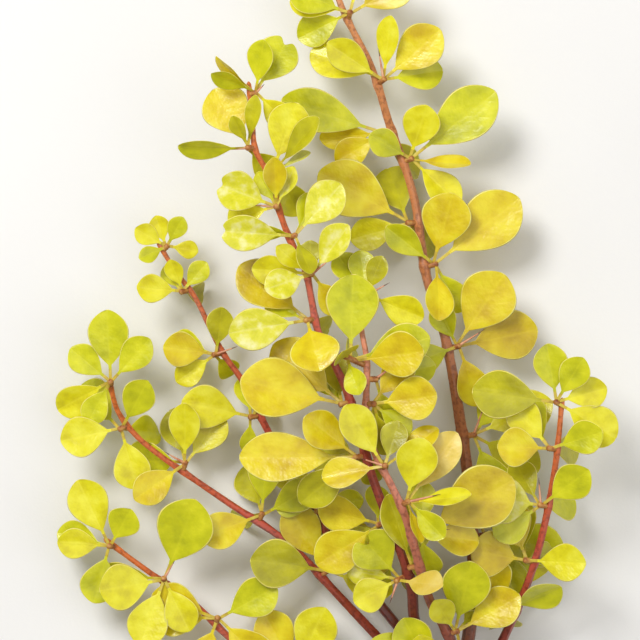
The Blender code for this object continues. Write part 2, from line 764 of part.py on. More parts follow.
def object_from(mesh, name, finish, collection):
    """An object of its own from a mesh in plan millimetres, in metres."""
    bmesh.ops.scale(mesh, vec=(MM, MM, MM), verts=mesh.verts)
    data = bpy.data.meshes.new(name)
    mesh.to_mesh(data)
    mesh.free()
    made = bpy.data.objects.new(name, data)
    data.materials.append(finish)
    collection.objects.link(made)
    return made


def build_limb(name, line, finish, collection):
    """A limb: a tube with filled caps through its points, tapering from root to tip."""
    centres, radii = line
    curve = bpy.data.curves.new(name, "CURVE")
    curve.dimensions = "3D"
    curve.bevel_depth = MM
    curve.bevel_resolution = STEM_BEVEL_RESOLUTION
    curve.use_fill_caps = True
    spline = curve.splines.new("POLY")
    spline.points.add(len(centres) - 1)
    for point, centre, radius in zip(spline.points, centres, radii):
        point.co = (*(centre * MM), 1.0)
        point.radius = radius
    limb = bpy.data.objects.new(name, curve)
    curve.materials.append(finish)
    collection.objects.link(limb)
    return limb


def keep_largest_piece(data):
    """Drops any loose scrap that fusing has left."""
    mesh = bmesh.new()
    mesh.from_mesh(data)
    left = set(mesh.faces)
    pieces = []
    while left:
        piece = {left.pop()}
        edge = list(piece)
        while edge:
            near = {f for e in edge.pop().edges for f in e.link_faces} & left
            left -= near
            piece |= near
            edge.extend(near)
        pieces.append(piece)
    keep = max(pieces, key=len)
    bmesh.ops.delete(mesh, geom=[f for f in mesh.faces if f not in keep], context="FACES")
    mesh.to_mesh(data)
    mesh.free()


def build_cluster(place, finish, collection):
    """A spur with its thorn and leaves, joined by one union on their collection."""
    mass = object_from(spur_rod(place.spur), place.name, finish, collection)
    growths = bpy.data.collections.new(place.name + "_growths")
    bpy.context.scene.collection.children.link(growths)
    if place.thorn:
        thorn = tapered_rod(*place.thorn, THORN_RADIUS, 0.0, THORN_SIDES)
        object_from(thorn, place.name + "_thorn", finish, growths)
    for number, (leaf, root) in enumerate(place.leaves):
        object_from(leaf_loft(leaf, root), f"{place.name}_leaf_{number}", finish, growths)
    union = mass.modifiers.new("fused", "BOOLEAN")
    union.operation = "UNION"
    union.operand_type = "COLLECTION"
    union.collection = growths
    union.solver = "EXACT"
    bpy.context.view_layer.update()
    fused = bpy.data.meshes.new_from_object(mass.evaluated_get(bpy.context.evaluated_depsgraph_get()))
    keep_largest_piece(fused)
    mass.modifiers.clear()
    mass.data = fused
    for growth in list(growths.objects):
        bpy.data.objects.remove(growth)
    bpy.data.collections.remove(growths)
    return mass


def lowest_and_highest(objects):
    """The corners of the box that holds the objects' evaluated meshes."""
    depsgraph = bpy.context.evaluated_depsgraph_get()
    low, high = Vector((math.inf,) * 3), Vector((-math.inf,) * 3)
    for made in objects:
        data = bpy.data.meshes.new_from_object(made.evaluated_get(depsgraph))
        for vertex in data.vertices:
            for i in range(3):
                low[i] = min(low[i], vertex.co[i])
                high[i] = max(high[i], vertex.co[i])
        bpy.data.meshes.remove(data)
    return low, high


def main():
    """Builds the branch and sets its origin under the middle of its box."""
    for old in list(bpy.data.objects):
        bpy.data.objects.remove(old)
    collection = bpy.data.collections.new(COLLECTION_NAME)
    bpy.context.scene.collection.children.link(collection)
    bark = material("old_bark", (0.20, 0.055, 0.02), 0.6)
    young_bark = material("young_bark", (0.45, 0.10, 0.04), 0.5)
    leaf = material("golden_leaf", (0.62, 0.55, 0.03), 0.45)
    lines = limb_lines()
    objects = []
    for shoot in SHOOTS:
        finish = bark if shoot is BASE_LIMB else young_bark
        objects.append(build_limb(shoot.name, lines[shoot.name], finish, collection))
    for place in plan_clusters(lines):
        objects.append(build_cluster(place, leaf, collection))
    bpy.context.view_layer.update()
    low, high = lowest_and_highest(objects)
    shift = Vector((-(low.x + high.x) / 2, -(low.y + high.y) / 2, -low.z))
    for made in objects:
        made.location = shift


main()
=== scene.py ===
"""Looks of a cut barberry branch that lies on a pale surface, seen from straight above.

The plan repeats the branch's own drawing and its rule for placing leaves, in millimetres:
+X to the right, +Y along the branch, +Z up from the surface. Each shoot then gets bark with
relief, knobbly spurs, thorns, and leaves in their own outline with a pale rim and a stalk.
"""

import logging
import math
import random
from dataclasses import dataclass, field, replace
from enum import Enum

import bmesh
import bpy
from bmesh.types import BMesh
from bpy.types import NodeSocket, Object
from mathutils import Matrix, Vector
from mathutils.bvhtree import BVHTree


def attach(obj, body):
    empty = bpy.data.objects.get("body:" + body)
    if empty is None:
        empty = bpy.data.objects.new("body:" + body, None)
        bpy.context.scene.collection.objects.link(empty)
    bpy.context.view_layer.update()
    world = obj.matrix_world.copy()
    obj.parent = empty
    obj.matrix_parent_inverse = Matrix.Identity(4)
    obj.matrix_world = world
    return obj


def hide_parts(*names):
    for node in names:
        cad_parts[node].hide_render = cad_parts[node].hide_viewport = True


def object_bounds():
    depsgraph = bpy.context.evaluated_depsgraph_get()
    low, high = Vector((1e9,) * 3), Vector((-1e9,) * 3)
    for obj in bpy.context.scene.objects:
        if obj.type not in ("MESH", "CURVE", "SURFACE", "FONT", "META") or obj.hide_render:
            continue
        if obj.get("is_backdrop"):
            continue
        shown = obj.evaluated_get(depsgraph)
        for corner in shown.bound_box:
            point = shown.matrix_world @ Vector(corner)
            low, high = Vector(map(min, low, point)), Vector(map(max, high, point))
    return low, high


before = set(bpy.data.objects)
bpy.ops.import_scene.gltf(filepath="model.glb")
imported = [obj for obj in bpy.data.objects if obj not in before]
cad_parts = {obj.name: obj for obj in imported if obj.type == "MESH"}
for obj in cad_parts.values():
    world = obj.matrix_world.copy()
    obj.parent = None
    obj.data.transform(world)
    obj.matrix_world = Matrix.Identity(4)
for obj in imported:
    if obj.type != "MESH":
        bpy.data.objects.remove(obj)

log = logging.getLogger("barberry")

MM = 0.001
BODY = "root"

# The drawing's own dimensions, in millimetres
CLEARANCE = 0.3
LEAF_THICKNESS = 0.5
PETIOLE_WIDTH = 0.9
SPUR_RADIUS = 0.85
THORN_RADIUS = 0.42
STEM_SPACING = 9.0

# The drawing's own shares and counts
PETIOLE_SHARE = 0.2
SPUR_TIP_SHARE = 0.9
SPUR_BACKWARD_SHARE = 0.7
THORN_PLACE_ON_SPUR = 0.6
LIMB_TAPER = 0.9
STEM_TEST_SWELL = 1.1
STEM_TEST_SIDES = 8
SPUR_SIDES = 6
THORN_SIDES = 4
ROUTE_STEPS = 16
END_FACE_POINTS = 16
LEAF_STATIONS = (0.0, 0.2, 0.44, 0.72, 0.93)
STATION_GAP = 0.04
BLADE_START = 0.36
FOLD_START = 0.15
FOLD_REACH = 0.3
LEAST_BEND = 1e-6
FIRST_LEAF_ON_SPUR = 0.35
LEAVES_ON_SPUR = 0.5

# The leaf's outline: where it is widest, how round it is, how it leaves its stalk, and its size
OUTLINE_PEAK = 1.38
OUTLINE_ROUND = 0.62
OUTLINE_BASE = 0.1
OUTLINE_SIZE = 1.13

# The rule for the leaves that grow round a spur: angles in degrees, sizes as shares
GOLDEN_ANGLE = 137.5
TURN_RANGE = (-30, 30)
OPEN_RANGE = (62, 104)
LENGTH_RANGE = (0.82, 1.14)
WIDTH_RANGE = (0.5, 0.62)
ROLL_RANGE = (-22, 22)
FOLD_RANGE = (8, 18)
BEND_RANGE = (-16, 22)
HIGHEST_RISE = 0.1
TURNED_DOWN = -0.6
FIRST_SEED = 11

# Changes that are tried in turn where a leaf would touch what grows beside it:
# more lift, then more roll, then another bearing and a smaller leaf
LIFT_STEPS = (0, 7, -7, 14, -14, 21, -21, 29, -29)
ROLL_STEPS = (0, 16, -16, 34, -34)
TURN_STEPS = ((0, 1.0), (7, 1.0), (-7, 1.0), (14, 0.9), (-14, 0.9), (0, 0.75))

# A leaf that reaches below the surface is lifted by such steps, then to the place between two
FLOOR_STEP = 4.0
FLOOR_HALVINGS = 10
STEEPEST_LIFT = 80.0

# How a limb's tip closes: how far past its end and how wide, both as shares of its radius there
TIP_STEPS = ((0.5, 0.82), (1.0, 0.5), (1.3, 0.2))


class Tint(Enum):
    """The leaves' tints, each with its letter in the drawing. Amber and olive are darker copies of gold and
    lime: painted shade on the leaves that lie behind and below the others, and olive is also dealt at random
    as a darker tone.
    """

    LEMON = "L"
    GOLD = "G"
    LIME = "I"
    AMBER = "A"
    OLIVE = "O"
    PALE = "P"
    TAN = "T"


@dataclass(frozen=True)
class Leaf:
    """One leaf: its bearing in plan and its size, then how it leaves the plan's plane."""

    bearing: float
    length: float
    width: float
    lift: float = 0.0
    roll: float = 0.0
    fold: float = 12.0
    bend: float = 8.0
    tint: Tint | None = None
    notch: float = 0.0


@dataclass(frozen=True)
class Cluster:
    """A spur at a level of its shoot, with its thorn and its leaves.

    The rule adds `extra` leaves, `tints` has a letter for each drawn leaf that shows its tint,
    and `notch` says which drawn leaf has a notched tip and how deep it is.
    """

    level: float
    side: float
    rise: float
    twig: float
    thorn: tuple
    extra: int
    tints: str
    notch: tuple
    leaves: tuple


@dataclass(frozen=True)
class Shoot:
    """A tapering limb through its route's points, with its clusters of leaves."""

    name: str
    route: tuple
    root_radius: float
    tip_radius: float
    leaf_size: float
    clusters: tuple

    def radius(self, share: float) -> float:
        """The limb's radius at a place along it, from 0 at its root to 1 at its tip."""
        return self.root_radius - (self.root_radius - self.tip_radius) * share ** LIMB_TAPER


# Each shoot: its name, its route's points, its radii at root and tip, its usual leaf length and
# its clusters. Each cluster: its spur's level, bearing, rise and length, its thorn's bearing,
# length and lift, how many leaves the rule adds, the tints, the notch, and the drawn leaves.
SHOOTS = (
    Shoot("base_limb", (
        (6.5, 0, 4.4), (4.2, 9, 5.4), (1, 19, 7.6), (-3.3, 29.5, 10.6)), 4.2, 2.5, 17, (
        Cluster(21, 135, 55, 2.5, (), 3, "", (), (
            Leaf(106, 16, 9, 30, 10), Leaf(150, 21, 11, 8, -15))),
    )),
    Shoot("main_shoot", (
        (-3.45, 29.9, 10.75), (-6.5, 37, 15), (-7.6, 47, 21), (-9.8, 54.5, 24.3), (-13.4, 64.5, 27.2),
        (-16.5, 72, 28.6), (-20, 82.3, 30), (-25.9, 102.6, 31), (-35, 122, 31.5), (-36.1, 133, 32),
        (-41.2, 143.2, 32), (-45.1, 153.7, 32.5), (-47.8, 163.5, 33), (-51.6, 170.4, 33.5),
        (-52.2, 180, 34.4), (-53.1, 187.5, 35.2)), 1.6, 0.65, 15, (
        Cluster(50.4, 185, 38, 3, (250, 7, 10), 2, "ILPT", (0, 0.24), (
            Leaf(131, 18.5, 13.5, 14, 0, 8, 14), Leaf(205, 14.5, 10.5, 6, 8), Leaf(168, 15, 8, -8, 20),
            Leaf(356, 18.5, 8.5, 17, 48))),
        Cluster(66, 215, -25, 2.4, (), 2, "GGA", (), (
            Leaf(213, 22, 13, -14), Leaf(165, 19, 11, -22, 15), Leaf(262, 17, 10, -30))),
        Cluster(84.6, 175, 22, 2.2, (205, 7, 5), 2, "GGO", (), (
            Leaf(144, 20, 11, 10, -10, 10, 18), Leaf(181, 33, 14.5, -6, -12), Leaf(219, 21, 11, -16, 10))),
        Cluster(99.3, 172, 25, 2.2, (), 2, "GAO", (), (
            Leaf(167, 29.5, 17, 2, -6, 10, 6), Leaf(139, 26, 14.5, -14), Leaf(100, 17, 9, -24))),
        Cluster(122.6, 178, 30, 2.4, (), 2, "APG", (), (
            Leaf(143, 25, 13.5, -12, -8), Leaf(189, 22.5, 12, 3, 6, 8),
            Leaf(284, 17.5, 14.5, 44, 0, 14, -20))),
        Cluster(134.6, 25, 48, 1.8, (39, 7.5, 20), 2, "LPOP", (), (
            Leaf(142, 13.6, 6, 22, -12), Leaf(51, 18, 10, 14, 18, 26), Leaf(92, 9.5, 6.5, -6),
            Leaf(198, 15, 9, 30, -8, 8, -10))),
        Cluster(145.2, 20, 40, 1.8, (), 2, "PIP", (0, 0.08), (
            Leaf(177, 21.5, 10.5, 14, 10, 16, -8), Leaf(169, 10, 5, -10, 55),
            Leaf(47, 19.5, 11.5, 4, 10, 10))),
        Cluster(153.4, 120, 52, 1.8, (176, 7.4, -5), 1, "GIPP", (3, 0.1), (
            Leaf(92, 15, 7.6, 22, 0, 28), Leaf(117, 11, 6, -6, 10), Leaf(63, 12.3, 6.4, 6, 30),
            Leaf(159, 18, 12.5, 8, 0, 26))),
        Cluster(163.2, 10, 25, 1.8, (25, 10, -5), 1, "LOI", (), (
            Leaf(70, 20, 12.4, 4, 0, 8), Leaf(45, 20.2, 9, 10, 42, 14), Leaf(21, 11.5, 6, 12, 62))),
        Cluster(170.2, 178, 22, 1.8, (184, 8.6, 0), 1, "GOIO", (), (
            Leaf(121, 19.5, 13.6, -12, 0, 8), Leaf(115, 10.5, 5, 20, 25, 20),
            Leaf(183, 19.5, 8.5, 8, 52, 14, -10), Leaf(79, 15, 5, -12, 20))),
        Cluster(184.8, 30, 30, 1.4, (45, 3.4, 5), 1, "IIGI", (0, 0.12), (
            Leaf(58, 18, 12, 4, 0, 8), Leaf(78, 15.4, 8.4, 16, 26), Leaf(144, 15.2, 6, 6, 66, 16, -14),
            Leaf(154, 13.8, 7.4, 14, 52))),
    )),
    Shoot("second_shoot", (
        (2, 17, 7.5), (5, 24, 11.8), (4.3, 29.5, 15.6), (1.4, 36, 20), (-3.4, 45.3, 25.2), (-5.7, 54.4, 29),
        (-8, 62, 31.6), (-11.4, 72.4, 33.4), (-16.4, 81.4, 34.6), (-20, 91, 35), (-21, 99.2, 34.8),
        (-20, 107.3, 34.4), (-22, 121, 33.6), (-21.7, 129.5, 33)), 1.5, 0.7, 16, (
        Cluster(33.5, 20, 25, 2.2, (), 2, "ILG", (), (
            Leaf(78, 22.5, 14, 16, 0, 8), Leaf(122, 15, 8, 34), Leaf(30, 21, 12, 4, 10))),
        Cluster(53.4, 200, -35, 2.2, (), 2, "OA", (), (
            Leaf(110, 22, 9.5, -10, 18), Leaf(150, 20, 11, -26))),
        Cluster(62.2, 15, 0, 2.2, (8, 8.5, 4), 2, "AG", (), (
            Leaf(30, 30.5, 18, -4, 0, 8), Leaf(350, 18, 10, -22, 10))),
        Cluster(71, 35, 38, 2.2, (14, 9.5, 6), 1, "LTLA", (), (
            Leaf(77, 19.5, 12, 12, 0, 10), Leaf(54, 24, 10.5, -10), Leaf(4, 18, 8, 8, 54),
            Leaf(284, 12, 6, 8, 55))),
        Cluster(81.4, 85, 60, 2, (162, 7.4, 4), 1, "LGO", (), (
            Leaf(123, 21, 10.5, 12, -8, 10, 6), Leaf(32, 18.5, 8, 8, 36), Leaf(72, 13, 8, -8, 10))),
        Cluster(99, 5, 38, 2, (), 1, "GAI", (), (
            Leaf(8, 18.5, 12.6, 8, 0, 8), Leaf(52, 18, 9.5, -14), Leaf(320, 14, 8, -18, 20))),
        Cluster(105.8, 10, -10, 2.2, (37, 7.5, 12), 1, "IA", (), (
            Leaf(11, 20, 9, -8, 8), Leaf(24, 17, 9.5, -26))),
        Cluster(109.6, 126, 12, 7.2, (), 1, "GIIOI", (), (
            Leaf(8, 20.5, 13, 16, 0, 8), Leaf(16, 22.5, 12, -6, 0, 8), Leaf(88, 23.5, 15, -14, 0, 10),
            Leaf(128, 9, 9, 40), Leaf(290, 12.5, 7, 26, -14))),
        Cluster(128.4, 60, 30, 1.6, (29, 7.3, 8), 2, "OII", (), (
            Leaf(67, 12, 6.5, 4, 10), Leaf(98, 13, 8, -14), Leaf(130, 11, 7, -30))),
    )),
    Shoot("low_right_twig", (
        (4.4, 8, 5.4), (12, 16.5, 7.2), (19.5, 32.5, 12.5), (26, 49.5, 18.5), (30.2, 66.5, 23),
        (33, 84, 25.5), (34.4, 99.5, 26.5)), 1.5, 0.7, 18, (
        Cluster(39, 160, 30, 2.4, (), 2, "GI", (), (
            Leaf(118, 17, 13, 10), Leaf(152, 20, 13, 2), Leaf(30, 18, 11, -10))),
        Cluster(54, 165, 25, 2.2, (), 2, "AG", (), (
            Leaf(169, 17, 13.6, 8, 0, 8), Leaf(112, 18, 12, -8), Leaf(0, 18, 11, -6))),
        Cluster(70, 165, 30, 2.2, (95, 8, 10), 2, "P", (), (
            Leaf(172, 15.5, 13, 10, 0, 10), Leaf(40, 18, 11), Leaf(215, 16, 10, -12))),
        Cluster(86, 160, 25, 2.2, (), 2, "G", (), (
            Leaf(177, 15.5, 11.5, 4), Leaf(20, 16, 10, 4), Leaf(130, 17, 10, -10))),
        Cluster(98.5, 120, 25, 1.6, (), 1, "O", (), (
            Leaf(172, 24, 14, -12), Leaf(100, 17, 10, 6), Leaf(60, 15, 9, 4), Leaf(15, 15, 9, -8))),
    )),
    Shoot("right_shoot", (
        (3, 12, 5.8), (7, 21, 6.8), (9.6, 34, 8.4), (10.4, 50, 9.6), (9.6, 70, 10.6), (7.2, 90, 11.4),
        (2.9, 115.2, 12), (-3.1, 135.1, 12.4), (-6, 154.3, 12.6), (-9.2, 166, 12.8), (-13.1, 176.5, 13),
        (-18.8, 194.6, 13), (-28, 213.7, 12.8), (-34.5, 239, 12.4)), 1.95, 0.8, 21, (
        Cluster(60, 30, -10, 2.4, (), 3, "", (), (
            Leaf(350, 24, 13, -6), Leaf(300, 21, 12, -4))),
        Cluster(89, 15, 20, 2.4, (70, 9, 10), 2, "", (), (
            Leaf(22, 25, 13, -4, 8), Leaf(332, 22, 12, -10))),
        Cluster(114, 25, 25, 2.4, (33, 9.5, 16), 1, "GAI", (), (
            Leaf(57, 25, 16.5, 2, 0, 8), Leaf(12, 24, 14.5, -10, 0, 8), Leaf(117, 14, 8, 8, 10),
            Leaf(200, 16, 9, -16))),
        Cluster(137.5, 20, 20, 2.4, (), 1, "GGI", (), (
            Leaf(75, 21.5, 14.5, 8, 0, 8), Leaf(38, 31, 16.5, -4, 0, 8), Leaf(142, 19, 8.5, 4, 10),
            Leaf(300, 16, 9, -16))),
        Cluster(150, 165, 25, 2.4, (230, 8, 0), 2, "G", (), (
            Leaf(151, 30, 16.5, -2, 0, 10), Leaf(195, 18, 10, -16))),
        Cluster(167.5, 12, 30, 2.2, (), 1, "LIGI", (), (
            Leaf(72, 17, 11, 18, 0, 8), Leaf(38, 31, 15, 2, 0, 8), Leaf(351, 17.5, 7.5, 10, 50),
            Leaf(152, 15, 8.5, 20))),
        Cluster(176, 175, 15, 2.2, (), 1, "IG", (), (
            Leaf(162, 31, 12.5, -4, 0, 10), Leaf(182, 19, 8, -18, 14), Leaf(210, 16, 9, -24))),
        Cluster(189.5, 60, 35, 2.2, (100, 9, 10), 1, "GLL", (), (
            Leaf(41, 22, 13, 4, 0, 10), Leaf(147, 20, 9.5, 16, 8), Leaf(82, 18.5, 7.5, 10, 25),
            Leaf(10, 18, 10, -20))),
        Cluster(208, 100, 30, 2.2, (), 1, "GI", (), (
            Leaf(30, 21, 12, 2), Leaf(158, 19, 10.5, 6), Leaf(75, 18, 10, -12), Leaf(205, 17, 10, -20))),
        Cluster(235.5, 40, 25, 1.8, (20, 6, 10), 1, "GI", (), (
            Leaf(100, 17, 10, 4), Leaf(60, 18, 10.5, 10), Leaf(150, 17, 9.5, 8), Leaf(200, 15, 8, -10),
            Leaf(340, 16, 9, -12))),
    )),
    Shoot("left_shoot", (
        (0.2, 22, 8), (-6.5, 29, 8.6), (-14, 38, 8.6), (-26.2, 53.5, 8.8), (-39.1, 73.6, 9.6),
        (-49.2, 92.2, 10.4), (-54.8, 103.7, 10.8), (-62.6, 115.2, 11.2), (-67.7, 126.6, 11.6),
        (-74, 135.2, 12), (-79.4, 143.9, 12.4)), 1.5, 0.6, 14, (
        Cluster(66, 110, 20, 2.4, (), 3, "", (), (
            Leaf(72, 22, 11, 0, 10), Leaf(128, 20, 11, -4), Leaf(320, 20, 11, -10))),
        Cluster(95, 160, 20, 2.2, (), 3, "", (), (
            Leaf(168, 21, 13, 4), Leaf(60, 16, 9, -8))),
        Cluster(113, 170, 25, 2.2, (20, 7, 6), 2, "", (), (
            Leaf(172, 15.5, 10.5, 4), Leaf(82, 14, 8, -6), Leaf(215, 14, 8, -14))),
        Cluster(131, 165, 25, 2, (), 2, "", (), (
            Leaf(175, 13.5, 8.5, 6), Leaf(110, 10, 6, 10, 20), Leaf(50, 11, 6.5, -6))),
        Cluster(142.2, 60, 25, 1.5, (), 0, "", (), (
            Leaf(108, 9.5, 6, 4), Leaf(60, 10, 6, 10), Leaf(150, 10.5, 6.5, 8), Leaf(205, 9, 5, -10),
            Leaf(350, 9, 5.5, -14))),
    )),
    Shoot("left_twig", (
        (1.4, 17, 6.8), (-9, 23.5, 7.4), (-25, 40, 8.4), (-42, 58, 9.4), (-55.2, 67, 10.2),
        (-70.6, 77.5, 11), (-83.5, 87, 11.6), (-90.5, 95, 12), (-93.5, 104.5, 12.4)), 1.4, 0.65, 19, (
        Cluster(49, 30, 30, 2.4, (), 2, "", (), (
            Leaf(38, 20, 12.5, 6), Leaf(120, 22, 12, -4), Leaf(170, 23, 14.5, 4))),
        Cluster(64.5, 80, 25, 2.2, (), 2, "", (), (
            Leaf(30, 19, 10, 2), Leaf(84, 20, 10.5, 6, 12), Leaf(200, 19, 11, -10))),
        Cluster(79, 100, 20, 2.2, (150, 7, 8), 2, "", (), (
            Leaf(88, 19, 9.5, 8, 8), Leaf(52, 18, 10), Leaf(215, 18, 10, -10))),
        Cluster(92.5, 200, 20, 2.2, (), 2, "", (), (
            Leaf(192, 18, 12, 4), Leaf(60, 18, 10, 2), Leaf(285, 18, 11, -6))),
        Cluster(103.2, 100, 25, 1.6, (), 1, "", (), (
            Leaf(92, 21, 12, 4), Leaf(48, 17, 9.5, 4), Leaf(140, 15, 9, -4), Leaf(240, 14, 8, -12))),
    )),
    Shoot("low_left_twig", (
        (4, 9.5, 5), (-9, 9.5, 5.8), (-30, 14.5, 6.6), (-47, 22.5, 7.6), (-59.2, 31, 8.8), (-70.6, 42.1, 10),
        (-82.1, 50, 10.8), (-94.4, 59.3, 11.4)), 1.4, 0.7, 18, (
        Cluster(19.5, 60, 30, 2.4, (), 1, "", (), (
            Leaf(66, 21, 13, 4), Leaf(118, 20, 12), Leaf(200, 20, 11, -6), Leaf(300, 18, 10, -6))),
        Cluster(35, 110, 30, 2.2, (), 2, "", (), (
            Leaf(30, 20, 12, 4), Leaf(250, 18, 11, -6), Leaf(160, 20, 12, -10))),
        Cluster(47, 130, 35, 2.2, (60, 7, 8), 2, "", (), (
            Leaf(188, 19, 13.5, 12, 0, 8), Leaf(68, 26, 17, 4, 0, 14), Leaf(250, 20, 12, -8))),
        Cluster(57.6, 150, 30, 1.8, (), 1, "", (), (
            Leaf(60, 13, 10, 12), Leaf(175, 15, 9, 4), Leaf(115, 21, 12), Leaf(255, 17, 11, -6))),
    )),
)
BASE_LIMB, MAIN_SHOOT = SHOOTS[:2]


class Geometry:
    """Lines, directions and plain rods, in plan millimetres."""

    @staticmethod
    def smooth_route(points: tuple) -> list[Vector]:
        """Fine points along a smooth curve through a route's points.

        Args:
            points: The route's own points.

        Returns:
            The curve's points, from root to tip.
        """
        knots = [Vector(p) for p in points]
        knots = [2 * knots[0] - knots[1]] + knots + [2 * knots[-1] - knots[-2]]
        fine = []
        for k in range(1, len(knots) - 2):
            before, start, end, after = knots[k - 1:k + 3]
            for step in range(ROUTE_STEPS):
                t = step / ROUTE_STEPS
                fine.append(0.5 * (2 * start + (end - before) * t
                                   + (2 * before - 5 * start + 4 * end - after) * t * t
                                   + (3 * start - before - 3 * end + after) * t ** 3))
        fine.append(knots[-2])
        return fine

    @staticmethod
    def evenly(fine: list[Vector], spacing: float) -> list[Vector]:
        """The same line with points at about one spacing.

        Args:
            fine: The line's fine points.
            spacing: The distance that is wanted between points.

        Returns:
            The line's new points.
        """
        run = [0.0]
        for a, b in zip(fine, fine[1:]):
            run.append(run[-1] + (b - a).length)
        count = max(2, round(run[-1] / spacing))
        places = []
        at = 0
        for k in range(count + 1):
            wanted = run[-1] * k / count
            while at < len(run) - 2 and run[at + 1] < wanted:
                at += 1
            share = (wanted - run[at]) / (run[at + 1] - run[at])
            places.append(fine[at].lerp(fine[at + 1], share))
        return places

    @staticmethod
    def unit(bearing: float, lift: float) -> Vector:
        """The direction with this bearing in plan and this lift out of it, in degrees."""
        b, l = math.radians(bearing), math.radians(lift)
        return Vector((math.cos(b) * math.cos(l), math.sin(b) * math.cos(l), math.sin(l)))

    @staticmethod
    def rod(start: Vector, end: Vector, start_radius: float, end_radius: float,
            sides: int) -> BMesh:
        """A straight closed rod that tapers from one end to the other.

        Args:
            start: The middle of its first end.
            end: The middle of its last end.
            start_radius: The radius at the first end.
            end_radius: The radius at the last end.
            sides: How many sides it has.

        Returns:
            The rod.
        """
        way = end - start
        mesh = bmesh.new()
        bmesh.ops.create_cone(mesh, cap_ends=True, segments=sides, radius1=start_radius,
                              radius2=end_radius, depth=way.length)
        turn = Vector((0, 0, 1)).rotation_difference(way).to_matrix().to_4x4()
        bmesh.ops.transform(mesh, matrix=Matrix.Translation((start + end) / 2) @ turn, verts=mesh.verts)
        return mesh


@dataclass(frozen=True)
class Limb:
    """A limb in its place: its drawing, then its points and radii from root to tip."""

    shoot: Shoot
    centres: list
    radii: list

    @classmethod
    def grown(cls, shoot: Shoot, base: "Limb | None") -> "Limb":
        """Works a limb out.

        Args:
            shoot: The limb's drawing.
            base: The limb that its route starts inside, or None.

        Returns:
            The limb, which starts where its end face has left the base.
        """
        fine = Geometry.evenly(Geometry.smooth_route(shoot.route), CLEARANCE)
        if base:
            fine = base.left_by(fine, shoot.root_radius)
        centres = Geometry.evenly(fine, STEM_SPACING)
        last = len(centres) - 1
        return cls(shoot, centres, [shoot.radius(k / last) for k in range(last + 1)])

    def stretches(self) -> zip:
        """The limb's straight stretches, each with its two ends and the radii there."""
        return zip(self.centres, self.centres[1:], self.radii, self.radii[1:])

    def distance(self, point: Vector) -> float:
        """How far a point lies outside the limb.

        Args:
            point: The point.

        Returns:
            The least distance to the limb's surface.
        """
        least = math.inf
        for a, b, ra, rb in self.stretches():
            along = b - a
            t = min(1.0, max(0.0, (point - a).dot(along) / along.length_squared))
            least = min(least, (point - a.lerp(b, t)).length - ra - (rb - ra) * t)
        return least

    def left_by(self, fine: list[Vector], radius: float) -> list[Vector]:
        """A line from where an end face has left this limb.

        Args:
            fine: The line's fine points, which start inside the limb.
            radius: The end face's radius.

        Returns:
            The line's points that are clear of the limb.
        """
        for k in range(len(fine) - 2):
            way = (fine[k + 1] - fine[k]).normalized()
            across = way.orthogonal().normalized()
            other = way.cross(across)
            rim = [fine[k] + (across * math.cos(a) + other * math.sin(a)) * radius
                   for a in (step * math.tau / END_FACE_POINTS for step in range(END_FACE_POINTS))]
            if min(self.distance(p) for p in rim) >= CLEARANCE:
                return fine[k:]
        return fine

    def spur(self, cluster: Cluster) -> tuple[Vector, Vector]:
        """Where a cluster's spur stands.

        Args:
            cluster: The cluster's drawing.

        Returns:
            The spur's two ends, the first just clear of the limb.
        """
        centres, radii = self.centres, self.radii
        for k in range(len(centres) - 1):
            if centres[k + 1].y >= cluster.level:
                break
        share = (cluster.level - centres[k].y) / (centres[k + 1].y - centres[k].y)
        way = (centres[k + 1] - centres[k]).normalized()
        out = Geometry.unit(cluster.side, cluster.rise)
        out = (out - way * out.dot(way) * SPUR_BACKWARD_SHARE).normalized()
        sine = out.cross(way).length
        centre = centres[k].lerp(centres[k + 1], share)
        radius = radii[k] + (radii[k + 1] - radii[k]) * share
        lean = SPUR_RADIUS * math.sqrt(1.0 - sine * sine)
        start = centre + out * ((radius + CLEARANCE + lean) / sine)
        return start, start + out * cluster.twig


@dataclass(frozen=True)
class Solid:
    """A placed shape for the clearance tests, with its box and the cluster that it belongs to."""

    low: Vector
    high: Vector
    tree: BVHTree
    blade: BVHTree
    owner: str

    @classmethod
    def of(cls, mesh: BMesh, owner: str, blade: BMesh | None = None) -> "Solid":
        """Makes the test shape of a mesh, and frees what it was made from.

        Args:
            mesh: The whole shape.
            owner: The cluster or limb that it belongs to.
            blade: Its outer part, where that is tested on its own within a cluster.

        Returns:
            The test shape.
        """
        low = Vector(min(v.co[i] for v in mesh.verts) for i in range(3))
        high = Vector(max(v.co[i] for v in mesh.verts) for i in range(3))
        made = cls(low, high, BVHTree.FromBMesh(mesh), BVHTree.FromBMesh(blade or mesh), owner)
        mesh.free()
        if blade:
            blade.free()
        return made

    def meets(self, other: "Solid") -> bool:
        """Whether this shape touches another, where in one cluster only blades count.

        Args:
            other: The other shape.

        Returns:
            True where they touch.
        """
        if any(self.low[i] > other.high[i] or other.low[i] > self.high[i] for i in range(3)):
            return False
        if other.owner == self.owner:
            return bool(self.blade.overlap(other.blade))
        return bool(self.tree.overlap(other.tree))


